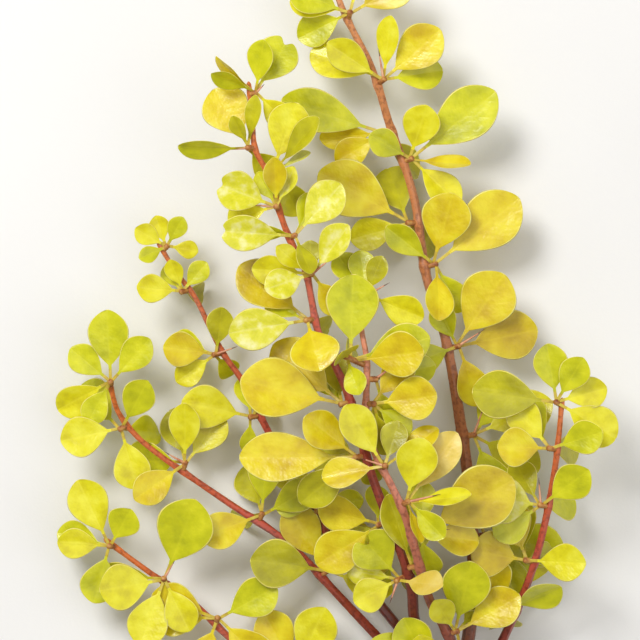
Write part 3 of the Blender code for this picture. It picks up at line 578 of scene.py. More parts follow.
@dataclass
class PlacedLeaf:
    """A leaf in its place: its drawing, where it starts, and its own directions."""

    leaf: Leaf
    root: Vector
    axes: tuple = ()

    def __post_init__(self) -> None:
        """Works out the directions along the leaf, across its blade and out of its face."""
        along = Geometry.unit(self.leaf.bearing, self.leaf.lift)
        level = Geometry.unit(self.leaf.bearing - 90.0, 0.0)
        face = level.cross(along)
        roll = math.radians(self.leaf.roll)
        self.axes = (along, level * math.cos(roll) + face * math.sin(roll),
                     face * math.cos(roll) - level * math.sin(roll))

    def half(self, t: float, fuller: float = 1.0) -> float:
        """The plan's half width at a place along the leaf.

        Args:
            t: The place, from 0 at the leaf's root to 1 at its tip.
            fuller: How many times as wide as in the plan the blade is made.

        Returns:
            The half width, never less than the stalk's.
        """
        if t <= PETIOLE_SHARE:
            return PETIOLE_WIDTH / 2
        q = (t - PETIOLE_SHARE) / (1.0 - PETIOLE_SHARE)
        share = (math.sin(math.pi * min(1.0, q) ** OUTLINE_PEAK) ** OUTLINE_ROUND
                 * q / (q + OUTLINE_BASE) * OUTLINE_SIZE)
        return max(PETIOLE_WIDTH / 2, self.leaf.width / 2 * share * fuller)

    def point(self, t: float, u: float, proud: float) -> Vector:
        """A point of the leaf.

        Args:
            t: The place along the leaf, from 0 at its root to 1 at its tip.
            u: The place across it, from edge to edge.
            proud: How far the point stands out of the leaf's face.

        Returns:
            The point.
        """
        along, across, face = self.axes
        bend = math.radians(self.leaf.bend) + LEAST_BEND
        turn = bend * t
        arc = along * math.sin(turn) + face * (1.0 - math.cos(turn))
        centre = self.root + self.leaf.length / bend * arc
        up = face * math.cos(turn) - along * math.sin(turn)
        fold = math.radians(self.leaf.fold) * min(1.0, max(0.0, (t - FOLD_START) / FOLD_REACH))
        out = across * u * math.cos(fold) + up * abs(u) * math.sin(fold)
        return centre + self.half(t) * out + up * proud

    def loft(self, start: float, grow: float) -> BMesh:
        """The drawing's plain solid of the leaf, for the clearance tests.

        Args:
            start: The place along the leaf from which it is made.
            grow: How far it is grown on every side.

        Returns:
            The solid.
        """
        thick = LEAF_THICKNESS / 2 + grow
        mesh = bmesh.new()
        rings = []
        for t in [start] + [s for s in LEAF_STATIONS if s > start + STATION_GAP]:
            reach = 1.0 + grow / self.half(t)
            rings.append([mesh.verts.new(self.point(t, u, proud)) for u, proud in
                          ((-reach, 0.0), (0.0, thick), (reach, 0.0), (0.0, -thick))])
        tip = mesh.verts.new(self.point(1.0 + grow / self.leaf.length, 0.0, 0.0))
        mesh.faces.new(rings[0])
        for low, high in zip(rings, rings[1:]):
            for k in range(4):
                mesh.faces.new((low[k - 1], low[k], high[k], high[k - 1]))
        for k in range(4):
            mesh.faces.new((rings[-1][k - 1], rings[-1][k], tip))
        bmesh.ops.recalc_face_normals(mesh, faces=mesh.faces)
        return mesh

    def solid(self, owner: str, grow: float) -> Solid:
        """The leaf's test shape, grown on every side, its blade by half as much."""
        return Solid.of(self.loft(0.0, grow), owner, self.loft(BLADE_START, grow / 2))

    def lifted(self, lift: float) -> "PlacedLeaf":
        """The same leaf with another lift."""
        return PlacedLeaf(replace(self.leaf, lift=lift), self.root)

    def sinks(self) -> bool:
        """Whether the leaf reaches below the surface.

        Returns:
            True where it does.
        """
        mesh = self.loft(0.0, 0.0)
        low = min(v.co.z for v in mesh.verts)
        mesh.free()
        return low < 0.0

    def on_floor(self) -> "PlacedLeaf":
        """Lifts the leaf just enough to lie on the surface where it would sink below it.

        Returns:
            The lifted leaf, or the leaf itself.
        """
        if not self.sinks():
            return self
        high = self.leaf.lift
        while high < STEEPEST_LIFT and self.lifted(high).sinks():
            high += FLOOR_STEP
        low = high - FLOOR_STEP
        for _ in range(FLOOR_HALVINGS):
            middle = (low + high) / 2
            if self.lifted(middle).sinks():
                low = middle
            else:
                high = middle
        return self.lifted(high)


@dataclass
class Placed:
    """A cluster in its place: its spur's ends, its thorn's ends, and its leaves."""

    name: str
    shoot: Shoot
    cluster: Cluster
    spur: tuple
    thorn: tuple = ()
    leaves: list = field(default_factory=list)

    def drawn(self) -> list[Leaf]:
        """Gives the drawn leaves the tints and the notch that they show.

        Returns:
            The cluster's drawn leaves.
        """
        leaves = list(self.cluster.leaves)
        for k, letter in enumerate(self.cluster.tints):
            leaves[k] = replace(leaves[k], tint=Tint(letter))
        if self.cluster.notch:
            which, depth = self.cluster.notch
            leaves[which] = replace(leaves[which], notch=depth)
        return leaves

    def grown(self, chance: random.Random) -> list[Leaf]:
        """The leaves that the rule adds: a rosette round the spur, turned by the golden angle.

        Args:
            chance: The seeded source of small differences.

        Returns:
            The added leaves.
        """
        out = (self.spur[1] - self.spur[0]).normalized()
        first = out.orthogonal().normalized()
        second = out.cross(first)
        leaves = []
        for k in range(self.cluster.extra):
            angle = math.radians(GOLDEN_ANGLE * (k + 1) + chance.uniform(*TURN_RANGE))
            open_by = math.radians(chance.uniform(*OPEN_RANGE))
            round_it = first * math.cos(angle) + second * math.sin(angle)
            way = out * math.cos(open_by) + round_it * math.sin(open_by)
            if way.z > HIGHEST_RISE:
                way.z *= TURNED_DOWN
                way.normalize()
            bearing = math.degrees(math.atan2(way.y, way.x))
            lift = math.degrees(math.asin(way.z))
            length = self.shoot.leaf_size * chance.uniform(*LENGTH_RANGE)
            leaves.append(Leaf(bearing, length, length * chance.uniform(*WIDTH_RANGE), lift,
                               chance.uniform(*ROLL_RANGE), chance.uniform(*FOLD_RANGE),
                               chance.uniform(*BEND_RANGE)))
        return leaves


@dataclass
class Plan:
    """The branch's plan: its limbs and its clusters, placed by the drawing's own rule."""

    limbs: dict = field(default_factory=dict)
    placed: list = field(default_factory=list)
    clusters: list = field(default_factory=list)

    def draw(self) -> "Plan":
        """Works out the limbs and places the clusters.

        Returns:
            The plan itself.
        """
        for shoot in SHOOTS:
            base = None if shoot in (BASE_LIMB, MAIN_SHOOT) else self.limbs[BASE_LIMB.name]
            self.limbs[shoot.name] = Limb.grown(shoot, base)
        for name, limb in self.limbs.items():
            for a, b, ra, rb in limb.stretches():
                swollen = (ra * STEM_TEST_SWELL, rb * STEM_TEST_SWELL)
                self.placed.append(Solid.of(Geometry.rod(a, b, *swollen, STEM_TEST_SIDES), name))
        self.place_spurs()
        self.place_thorns()
        for rule_grown in (False, True):
            for number, place in enumerate(self.clusters):
                self.place_leaves(place, number, rule_grown)
        return self

    def place_spurs(self) -> None:
        """Places every cluster's spur."""
        for shoot in SHOOTS:
            for number, cluster in enumerate(shoot.clusters, 1):
                name = f"{shoot.name}_leaves_{number:02d}"
                spur = self.limbs[shoot.name].spur(cluster)
                mesh = Geometry.rod(*spur, SPUR_RADIUS, SPUR_RADIUS * SPUR_TIP_SHARE, SPUR_SIDES)
                self.placed.append(Solid.of(mesh, name + "_spur"))
                self.clusters.append(Placed(name, shoot, cluster, spur))

    def is_clear(self, test: Solid, place: Placed) -> bool:
        """Whether a shape touches nothing that is placed, its cluster's own spur apart."""
        own = place.name + "_spur"
        return not any(other.owner != own and test.meets(other) for other in self.placed)

    def place_thorns(self) -> None:
        """Places each cluster's thorn where it has one and it is clear."""
        for place in self.clusters:
            if not place.cluster.thorn:
                continue
            bearing, length, lift = place.cluster.thorn
            root = place.spur[0].lerp(place.spur[1], THORN_PLACE_ON_SPUR)
            ends = (root, root + Geometry.unit(bearing, lift) * length)
            grown = Geometry.rod(*ends, THORN_RADIUS + CLEARANCE, CLEARANCE, THORN_SIDES)
            if self.is_clear(Solid.of(grown, place.name), place):
                place.thorn = ends
                mesh = Geometry.rod(*ends, THORN_RADIUS, 0.0, THORN_SIDES)
                self.placed.append(Solid.of(mesh, place.name))

    def fitted(self, leaf: Leaf, root: Vector, place: Placed) -> PlacedLeaf | None:
        """The leaf as first tried or with the least change that keeps it clear.

        Args:
            leaf: The leaf's drawing.
            root: Where it starts.
            place: The cluster that it belongs to.

        Returns:
            The leaf that fits, or None.
        """
        for turn, size in TURN_STEPS:
            for roll in ROLL_STEPS:
                for lift in LIFT_STEPS:
                    changed = replace(leaf, bearing=leaf.bearing + turn, length=leaf.length * size,
                                      width=leaf.width * size, lift=leaf.lift + lift, roll=leaf.roll + roll)
                    trial = PlacedLeaf(changed, root).on_floor()
                    if self.is_clear(trial.solid(place.name, CLEARANCE), place):
                        return trial
        return None

    def place_leaves(self, place: Placed, number: int, rule_grown: bool) -> None:
        """Places a cluster's drawn leaves, or those that the rule adds.

        Args:
            place: The cluster in its place.
            number: The cluster's number, which seeds the rule.
            rule_grown: Whether the rule's leaves are placed, and not the drawn ones.
        """
        leaves = place.grown(random.Random(number + FIRST_SEED)) if rule_grown else place.drawn()
        total = len(place.cluster.leaves) + place.cluster.extra
        for leaf in leaves:
            share = FIRST_LEAF_ON_SPUR + LEAVES_ON_SPUR * len(place.leaves) / total
            root = place.spur[0].lerp(place.spur[1], share)
            fitted = self.fitted(leaf, root, place)
            if fitted:
                place.leaves.append(fitted)
                self.placed.append(fitted.solid(place.name, 0.0))

    def highest(self) -> Vector:
        """The far corner of the box that holds every leaf, thorn and spur."""
        return Vector(max(solid.high[i] for solid in self.placed) for i in range(3))


@dataclass(frozen=True)
class Nodes:
    """A material's node tree, with short ways to add nodes and to fill their inputs."""

    tree: bpy.types.NodeTree

    def fill(self, node: bpy.types.Node, inputs: dict) -> None:
        """Links or sets a node's inputs.

        Args:
            node: The node.
            inputs: Sockets or plain values, by the input's name or number.
        """
        for name, value in inputs.items():
            if isinstance(value, NodeSocket):
                self.tree.links.new(value, node.inputs[name])
            else:
                node.inputs[name].default_value = value

    def add(self, kind: str, inputs: dict, **settings: object) -> bpy.types.Node:
        """Adds a node.

        Args:
            kind: The last part of the node's type.
            inputs: What fills its inputs.
            **settings: The node's own settings.

        Returns:
            The new node.
        """
        node = self.tree.nodes.new("ShaderNode" + kind)
        for name, value in settings.items():
            setattr(node, name, value)
        self.fill(node, inputs)
        return node

    def coordinates(self, kind: str) -> NodeSocket:
        """The coordinates of a kind, such as Object or UV."""
        return self.add("TexCoord", {}).outputs[kind]

    def uv_part(self, axis: str) -> NodeSocket:
        """One axis of the UV map, X across and Y along."""
        return self.add("SeparateXYZ", {"Vector": self.coordinates("UV")}).outputs[axis]

    def noise(self, scale: float, detail: float) -> NodeSocket:
        """A noise pattern's value, with its scale per metre on object coordinates."""
        inputs = {"Scale": scale, "Detail": detail, "Vector": self.coordinates("Object")}
        return self.add("TexNoise", inputs).outputs["Fac"]

    def math(self, operation: str, first: object, second: object = 0.0, clamped: bool = False) -> NodeSocket:
        """A sum of two values, each a socket or a number, held between 0 and 1 where it is clamped."""
        return self.add("Math", {0: first, 1: second}, operation=operation, use_clamp=clamped).outputs[0]

    def mix(self, blend: str, factor: object, first: object, second: object) -> NodeSocket:
        """A mix of two colours, where the factor says how much of the second shows."""
        inputs = {"Factor": factor, "A": first, "B": second}
        return self.add("Mix", inputs, data_type="RGBA", blend_type=blend).outputs["Result"]

    def bump(self, height: NodeSocket, distance: float, strength: float) -> NodeSocket:
        """The normals of a relief, from its height, its depth in metres and how much of it shows."""
        inputs = {"Strength": strength, "Distance": distance, "Height": height}
        return self.add("Bump", inputs).outputs["Normal"]

    def ramp(self, value: NodeSocket, stops: tuple) -> NodeSocket:
        """A colour ramp over a value.

        Args:
            value: The value that it reads.
            stops: Pairs of a place and a colour.

        Returns:
            The ramp's colour socket.
        """
        node = self.add("ValToRGB", {"Fac": value})
        elements = node.color_ramp.elements
        while len(elements) < len(stops):
            elements.new(0.5)
        for element, (place, colour) in zip(elements, stops):
            element.position = place
            element.color = (*colour, 1.0)
        return node.outputs["Color"]


@dataclass(frozen=True)
class Finish:
    """A finish: its name, its colours from dark to light, and how it takes light."""

    name: str
    dark: tuple
    middle: tuple
    light: tuple
    roughness: float
    patch_scale: float = 160.0
    glow: float = 0.0
    glow_radius: tuple = (0.9, 0.8, 0.15)
    glow_depth: float = 0.0012
    stops: tuple = (0.30, 0.50, 0.72)

    def material(self) -> bpy.types.Material:
        """Makes the material, or finds it where it has been made.

        Returns:
            The material.
        """
        made = bpy.data.materials.get(self.name)
        if made is None:
            made = bpy.data.materials.new(self.name)
            made.use_nodes = True
            self.dress(Nodes(made.node_tree), made.node_tree.nodes["Principled BSDF"])
        return made

    def dress(self, nodes: Nodes, shader: bpy.types.Node) -> None:
        """Gives the shader mottled colour and fine relief.

        Args:
            nodes: The material's nodes.
            shader: Its Principled shader.
        """
        stops = tuple(zip(self.stops, (self.dark, self.middle, self.light)))
        nodes.fill(shader, {
            "Base Color": nodes.ramp(nodes.noise(self.patch_scale, 3.0), stops),
            "Roughness": self.roughness,
            "Normal": nodes.bump(nodes.noise(1500.0, 2.0), 0.00006, 0.5),
        })
        if self.glow:
            nodes.fill(shader, {
                "Subsurface Weight": self.glow,
                "Subsurface Radius": self.glow_radius,
                "Subsurface Scale": self.glow_depth,
            })


@dataclass(frozen=True)
class BarkFinish(Finish):
    """Bark whose colour runs from the shoot's root to its tip along its own UV map."""

    fleck_share: float = 0.7
    coat: float = 0.12

    def dress(self, nodes: Nodes, shader: bpy.types.Node) -> None:
        """Gives the shader the colour along the shoot, darker flecks and fine relief.

        Args:
            nodes: The material's nodes.
            shader: Its Principled shader.
        """
        along = nodes.ramp(nodes.uv_part("Y"), ((0.0, self.dark), (0.55, self.middle), (1.0, self.light)))
        flecks = nodes.ramp(nodes.noise(900.0, 4.0),
                            ((0.36, (0.45, 0.36, 0.36)), (0.50, (1.0, 1.0, 1.0)), (0.7, (1.15, 1.1, 1.0))))
        nodes.fill(shader, {
            "Base Color": nodes.mix("MULTIPLY", self.fleck_share, along, flecks),
            "Roughness": self.roughness,
            "Coat Weight": self.coat,
            "Normal": nodes.bump(nodes.noise(700.0, 4.0), 0.00015, 0.6),
        })


@dataclass(frozen=True)
class LeafFinish(Finish):
    """A leaf blade's finish, with a paler midrib, side veins in relief and a soft sheen."""

    vein_count: float = 17.0
    vein_slant: float = 0.34
    coat: float = 0.08

    def dress(self, nodes: Nodes, shader: bpy.types.Node) -> None:
        """Gives the shader mottled colour, a paler midrib and veins in relief.

        Args:
            nodes: The material's nodes.
            shader: Its Principled shader.
        """
        super().dress(nodes, shader)
        mottled = shader.inputs["Base Color"].links[0].from_socket
        away = nodes.math("ABSOLUTE", nodes.math("SUBTRACT", nodes.uv_part("X"), 0.5))
        slant = nodes.math("MULTIPLY", away, self.vein_slant * 2)
        slanted = nodes.math("SUBTRACT", nodes.uv_part("Y"), slant)
        waves = nodes.math("SINE", nodes.math("MULTIPLY", slanted, self.vein_count * math.tau / 2))
        veins = nodes.math("POWER", nodes.math("ABSOLUTE", waves), 6.0)
        rib = nodes.math("SUBTRACT", 1.0, nodes.math("MULTIPLY", away, 26.0), True)
        both = nodes.math("ADD", nodes.math("MULTIPLY", veins, 0.10), nodes.math("MULTIPLY", rib, 0.6), True)
        relief = nodes.math("SUBTRACT", nodes.noise(420.0, 2.0), nodes.math("MULTIPLY", both, 0.25))
        nodes.fill(shader, {
            "Base Color": nodes.mix("MIX", nodes.math("MULTIPLY", both, 0.5), mottled, (*self.light, 1.0)),
            "Coat Weight": self.coat,
            "Normal": nodes.bump(relief, 0.0005, 0.55),
        })


# Amber and olive are gold and lime made about a quarter darker: painted shade for the leaves that lie behind
# and below the others. Olive is also dealt at random as a darker tone.
LEAF_FINISHES = {
    Tint.LEMON: LeafFinish(
        "leaf_lemon", (0.58, 0.50, 0.004), (0.74, 0.67, 0.006), (0.84, 0.79, 0.05), 0.34, 190.0, 0.2),
    Tint.GOLD: LeafFinish(
        "leaf_gold", (0.55, 0.38, 0.002), (0.70, 0.54, 0.003), (0.80, 0.68, 0.02), 0.34, 150.0, 0.2),
    Tint.LIME: LeafFinish(
        "leaf_lime", (0.42, 0.43, 0.003), (0.56, 0.56, 0.004), (0.70, 0.68, 0.015), 0.36, 170.0, 0.2),
    Tint.AMBER: LeafFinish(
        "leaf_amber", (0.42, 0.28, 0.002), (0.56, 0.41, 0.003), (0.68, 0.54, 0.008), 0.36, 140.0, 0.15),
    Tint.OLIVE: LeafFinish(
        "leaf_olive", (0.32, 0.29, 0.002), (0.44, 0.41, 0.003), (0.58, 0.54, 0.006), 0.36, 150.0, 0.15),
    Tint.PALE: LeafFinish(
        "leaf_pale", (0.60, 0.58, 0.008), (0.72, 0.68, 0.03), (0.88, 0.84, 0.36), 0.36, 330.0, 0.2),
    Tint.TAN: LeafFinish(
        "leaf_tan", (0.60, 0.44, 0.03), (0.74, 0.54, 0.08), (0.82, 0.64, 0.18), 0.4, 180.0, 0.15),
}
RIM = Finish("leaf_rim", (0.76, 0.64, 0.08), (0.86, 0.76, 0.16), (0.90, 0.82, 0.26), 0.36, 300.0, 0.15)
STALK = Finish("leaf_stalk", (0.40, 0.27, 0.02), (0.56, 0.42, 0.04), (0.64, 0.52, 0.08), 0.42, 400.0, 0.1)
YOUNG_BARK = BarkFinish("bark_young", (0.14, 0.022, 0.008), (0.48, 0.075, 0.04), (0.60, 0.16, 0.03), 0.36)
BARKS = {
    "base_limb": BarkFinish(
        "bark_old", (0.10, 0.05, 0.025), (0.13, 0.038, 0.014), (0.14, 0.024, 0.009), 0.6),
    "second_shoot": BarkFinish(
        "bark_salmon", (0.18, 0.03, 0.012), (0.56, 0.19, 0.11), (0.64, 0.24, 0.12), 0.36),
    "right_shoot": BarkFinish(
        "bark_tawny", (0.20, 0.05, 0.02), (0.48, 0.17, 0.055), (0.60, 0.25, 0.09), 0.4),
}
SPUR = Finish("spur_bark", (0.20, 0.05, 0.015), (0.44, 0.17, 0.04), (0.60, 0.36, 0.09), 0.5, 700.0)
THORN = Finish("thorn", (0.50, 0.18, 0.10), (0.66, 0.30, 0.17), (0.74, 0.44, 0.27), 0.36, 500.0)
THORN_TIP = Finish("thorn_tip", (0.07, 0.02, 0.012), (0.12, 0.035, 0.02), (0.2, 0.07, 0.04), 0.36, 500.0)
CUT = Finish("cut_wood", (0.52, 0.36, 0.03), (0.64, 0.48, 0.06), (0.74, 0.60, 0.16), 0.7, 600.0)
FLOOR = Finish("floor_pale", (0.80, 0.79, 0.77), (0.82, 0.81, 0.79), (0.84, 0.83, 0.81), 0.85, 8.0)


@dataclass
class Blade(PlacedLeaf):
    """One leaf's fine mesh: two sheets that meet at the rim, with a midrib and a soft wave."""

    across_segments: int = 10
    along_segments: int = 24
    rim_crowding: float = 1.1
    tip_crowding: float = 1.5
    half_thickness: float = 0.11
    rib_height: float = 0.2
    rib_reach: float = 0.42
    rib_share_above: float = 0.35
    body_tip_ease: float = 12.0
    rib_tip_ease: float = 5.0
    base_fullness: float = 0.55
    base_reach: float = 0.22
    wave: float = 0.22
    wave_turns: float = 9.0
    wave_offset: float = 1.6
    wave_root_ease: float = 1.4
    notch_reach: float = 0.12
    notch_start: float = 0.6
    stalk_end: float = 0.17
    weld: float = 0.0008

    def column(self, x: float) -> float:
        """The place across the leaf of a column of the grid, close together at the rim."""
        return math.copysign(math.sin(abs(x) * math.pi / 2) ** self.rim_crowding, x)

    def row(self, y: float) -> float:
        """The place along the leaf of a row of the grid, close together at the tip."""
        return 1.0 - (1.0 - (y + 1.0) / 2.0) ** self.tip_crowding

    def fine_point(self, u: float, t: float, side: int, phase: float) -> Vector:
        """A point of one of the two sheets, with a little fuller base than in the plan.

        Args:
            u: The place across the leaf.
            t: The place along it.
            side: 1 on the upper sheet and -1 on the lower one.
            phase: Where the rim's wave starts.

        Returns:
            The point.
        """
        q = max(0.0, (t - PETIOLE_SHARE) / (1.0 - PETIOLE_SHARE))
        half = self.half(t, 1.0 + self.base_fullness * math.exp(-q / self.base_reach))
        inside = max(0.0, 1.0 - u ** 4)
        body = self.half_thickness * inside * min(1.0, (1.0 - t) * self.body_tip_ease)
        rib = (self.rib_height * inside * math.exp(-(u * half / self.rib_reach) ** 2)
               * min(1.0, (1.0 - t) * self.rib_tip_ease))
        height = body - self.rib_share_above * rib if side > 0 else -(body + rib)
        turns = phase + t * self.wave_turns + (self.wave_offset if u > 0 else 0.0)
        swell = self.wave * u * u * math.sin(turns) * min(1.0, t * self.wave_root_ease)
        notch = self.leaf.notch * math.exp(-(u * half / (self.notch_reach * self.leaf.width)) ** 2)
        at = t - notch * max(0.0, (t - self.notch_start) / (1.0 - self.notch_start)) ** 2
        return self.point(at, u * half / self.half(at), height + swell)

    def add_to(self, mesh: BMesh, tint: int, chance: random.Random) -> None:
        """Adds the leaf to a mesh.

        Args:
            mesh: The mesh that takes it.
            tint: The material number of its blade.
            chance: The seeded source of the wave's start.
        """
        single = bmesh.new()
        single.loops.layers.uv.verify()
        rows = self.along_segments * (2 if self.leaf.notch else 1)
        phase = chance.uniform(0.0, math.tau)
        for side in (1, -1):
            old, old_faces = set(single.verts), set(single.faces)
            bmesh.ops.create_grid(single, x_segments=self.across_segments, y_segments=rows,
                                  size=1.0, calc_uvs=True)
            sheet = set(single.faces) - old_faces
            for face in sheet:
                middle = face.calc_center_median()
                face.material_index = tint
                if self.row(middle.y) < self.stalk_end:
                    face.material_index = len(Tint) + 1
                elif abs(middle.x) > 1.0 - 2.0 / self.across_segments or middle.y > 1.0 - 2.0 / rows:
                    face.material_index = len(Tint)
            if side < 0:
                bmesh.ops.reverse_faces(single, faces=list(sheet))
            for vertex in set(single.verts) - old:
                vertex.co = self.fine_point(self.column(vertex.co.x), self.row(vertex.co.y), side, phase)
        bmesh.ops.remove_doubles(single, verts=single.verts, dist=self.weld)
        bmesh.ops.holes_fill(single, edges=[e for e in single.edges if e.is_boundary], sides=0)
        bmesh.ops.recalc_face_normals(single, faces=single.faces)
        data = bpy.data.meshes.new("single_leaf")
        single.to_mesh(data)
        single.free()
        mesh.from_mesh(data)
        bpy.data.meshes.remove(data)


@dataclass
class Rod:
    """A bent rod with a relief of its own, made by extruding a ring along a line."""

    centres: list
    radii: list
    sides: int
    ridges: int = 0
    ridge_depth: float = 0.0
    ridge_twist: float = 0.05

    def add_to(self, mesh: BMesh, root_material: int = 0) -> None:
        """Adds the rod to a mesh, with its UV map running round and along it.

        Args:
            mesh: The mesh that takes it.
            root_material: The material number of its root's face.
        """
        uv = mesh.loops.layers.uv.verify()
        way = (self.centres[1] - self.centres[0]).normalized()
        across = way.orthogonal().normalized()
        angles = [math.tau * k / self.sides for k in range(self.sides)]
        made = bmesh.ops.create_circle(mesh, cap_ends=True, radius=1.0, segments=self.sides)
        ring = list(made["verts"])
        cap = ring[0].link_faces[0]
        cap.material_index = root_material
        loop = list(cap.edges)
        last = len(self.centres) - 1
        for k, (centre, radius) in enumerate(zip(self.centres, self.radii)):
            if k:
                made = bmesh.ops.extrude_edge_only(mesh, edges=loop)["geom"]
                loop = [g for g in made if isinstance(g, bmesh.types.BMEdge)]
                fresh = [g for g in made if isinstance(g, bmesh.types.BMVert)]
                ring = [min(fresh, key=lambda v, o=old: (v.co - o.co).length_squared) for old in ring]
                ahead = (self.centres[min(k + 1, last)] - self.centres[k - 1]).normalized()
                across = (way.rotation_difference(ahead) @ across).normalized()
                way = ahead
            other = way.cross(across)
            for vertex, angle in zip(ring, angles):
                ridge = math.cos(self.ridges * angle + self.ridge_twist * k)
                reach = radius * (1.0 + self.ridge_depth * ridge)
                vertex.co = centre + (across * math.cos(angle) + other * math.sin(angle)) * reach
            if k:
                for corner in [c for v in ring for f in v.link_faces for c in f.loops]:
                    corner.face.material_index = 0
                    corner[uv].uv = (0.5, (k if corner.vert in ring else k - 1) / last)
        mesh.faces.new(ring)


@dataclass
class ShootPart:
    """A kind of piece that a shoot gets, from its limb, its placed clusters and the plan's place."""

    limb: Limb
    places: list
    shift: Vector

    @staticmethod
    def put_in_order(mesh: BMesh) -> None:
        """Sorts the faces by their corners, because extruding leaves their order to chance.

        Args:
            mesh: The mesh, whose corners have the same order on each run.
        """
        mesh.verts.index_update()
        count = len(mesh.verts)

        def place(face: bmesh.types.BMFace) -> int:
            """A number of the face's own, from its lowest and highest corners and their sum."""
            numbers = [v.index for v in face.verts]
            return (min(numbers) * count + max(numbers)) * count * len(numbers) + sum(numbers)

        mesh.faces.sort(key=place)

    def finish(self, kind: str, slot: str, mesh: BMesh, finishes: list[Finish],
               stands_for: list[str]) -> Object:
        """Turns a mesh in plan millimetres into a smooth object in place that rides on the branch.

        Args:
            kind: The last part of the piece's name.
            slot: Not used.
            mesh: The piece's mesh.
            finishes: Its finishes, in the order of its faces' material numbers.
            stands_for: The nodes that it stands for.

        Returns:
            The finished object.
        """
        bmesh.ops.scale(mesh, vec=(MM, MM, MM), verts=mesh.verts)
        bmesh.ops.translate(mesh, vec=self.shift, verts=mesh.verts)
        self.put_in_order(mesh)
        data = bpy.data.meshes.new(f"{self.limb.shoot.name}_{kind}")
        for face in mesh.faces:
            face.smooth = True
        mesh.to_mesh(data)
        mesh.free()
        for one in finishes:
            data.materials.append(one.material())
        made = bpy.data.objects.new(data.name, data)
        bpy.context.scene.collection.objects.link(made)
        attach(made, BODY)
        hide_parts(*stands_for)
        log.info("%s: %d faces for %s", made.name, len(data.polygons), ", ".join(stands_for))
        return made


@dataclass
class Bark(ShootPart):
    """A limb's bark: its taper, its lengthwise ribs and a swelling where each spur leaves it."""

    step: float = 0.8
    sides: int = 14
    ribs: int = 5
    rib_depth: float = 0.08
    swelling: float = 0.24
    swelling_reach: float = 1.6
    unevenness: float = 0.02
    root_reach: float = 1.3
    sharp_angle: float = 50.0

    def build(self) -> Object:
        """Builds the limb.

        Returns:
            The finished object.
        """
        shoot = self.limb.shoot
        base = shoot is BASE_LIMB
        fine = Geometry.evenly(Geometry.smooth_route(self.limb.centres), self.step)
        if not base:
            back = (fine[0] - fine[1]).normalized()
            fine.insert(0, fine[0] + back * shoot.root_radius * self.root_reach)
        last = len(fine) - 1
        chance = random.Random(shoot.name)
        widths = []
        for k, centre in enumerate(fine):
            radius = shoot.radius(k / last)
            for cluster in shoot.clusters:
                away = (centre.y - cluster.level) / self.swelling_reach
                radius *= 1.0 + self.swelling * math.exp(-away ** 2)
            widths.append(radius * (1.0 + chance.uniform(-self.unevenness, self.unevenness)))
        ahead = (fine[last] - fine[last - 1]).normalized()
        for reach, share in TIP_STEPS:
            fine.append(fine[last] + ahead * widths[last] * reach)
            widths.append(widths[last] * share)
        mesh = bmesh.new()
        Rod(fine, widths, self.sides, self.ribs, self.rib_depth).add_to(mesh, int(base))
        bmesh.ops.recalc_face_normals(mesh, faces=mesh.faces)
        made = self.finish("bark", "old_bark" if base else "young_bark", mesh,
                           [BARKS.get(shoot.name, YOUNG_BARK), CUT], [shoot.name])
        made.data.set_sharp_from_angle(angle=math.radians(self.sharp_angle))
        return made


@dataclass
class Foliage(ShootPart):
    """A shoot's leaves, joined, each in its own outline and with one of the tints."""

    # Leaves that hang lower than this lift get the darker olive in this share, as painted shade, and lime
    # otherwise
    hanging_lift: float = -18.0
    painted_shade_olive_share: float = 0.55
    young_from: float = 0.8
    young_lime_share: float = 0.6
    shares: tuple = ((0.30, Tint.LEMON), (0.62, Tint.GOLD), (0.84, Tint.LIME), (0.95, Tint.OLIVE))

    def tint(self, place: Placed, leaf: Leaf, chance: random.Random) -> Tint:
        """The leaf's tint, as drawn or dealt by its lift and its place on the shoot. Most hanging leaves get
        the darker olive as painted shade.

        Args:
            place: The leaf's cluster.
            leaf: The leaf.
            chance: The seeded source of the deal.

        Returns:
            The tint.
        """
        draw = chance.random()
        if leaf.tint:
            return leaf.tint
        # Painted shade: most of the leaves that hang below the others get the darker olive, the rest lime
        if leaf.lift < self.hanging_lift:
            return Tint.OLIVE if draw < self.painted_shade_olive_share else Tint.LIME
        if place.cluster.level / self.places[-1].cluster.level > self.young_from:
            return Tint.LIME if draw < self.young_lime_share else Tint.LEMON
        return next((tint for share, tint in self.shares if draw < share), Tint.PALE)

    def build(self) -> Object:
        """Builds the joined leaves.

        Returns:
            The finished object.
        """
        mesh = bmesh.new()
        mesh.loops.layers.uv.verify()
        tints = list(Tint)
        for number, place in enumerate(self.places):
            chance = random.Random(f"{place.name}{number}")
            for placed in place.leaves:
                tint = tints.index(self.tint(place, placed.leaf, chance))
                Blade(placed.leaf, placed.root).add_to(mesh, tint, chance)
        finishes = [LEAF_FINISHES[t] for t in tints] + [RIM, STALK]
        return self.finish("foliage", "leaf", mesh, finishes, [p.name for p in self.places])


@dataclass
class Spurs(ShootPart):
    """A shoot's spurs, joined: short knobbly shoots with the rings of old bud scales."""

    sides: int = 9
    step: float = 0.35
    least_steps: int = 6
    sunk: float = 0.7
    groove_share: float = 0.92
    ring_share: float = 0.14
    tip_share: float = 0.6

    def build(self) -> Object:
        """Builds the joined spurs.

        Returns:
            The finished object.
        """
        mesh = bmesh.new()
        for place in self.places:
            start, end = place.spur
            start = start - (end - start).normalized() * self.sunk
            steps = max(self.least_steps, round((end - start).length / self.step))
            centres = [start.lerp(end, k / steps) for k in range(steps + 1)]
            shares = [self.groove_share + self.ring_share * (k % 2) for k in range(steps)]
            radii = [SPUR_RADIUS * share for share in shares + [self.tip_share]]
            Rod(centres, radii, self.sides).add_to(mesh)
        bmesh.ops.recalc_face_normals(mesh, faces=mesh.faces)
        return self.finish("spurs", "young_bark", mesh, [SPUR], [p.name for p in self.places])


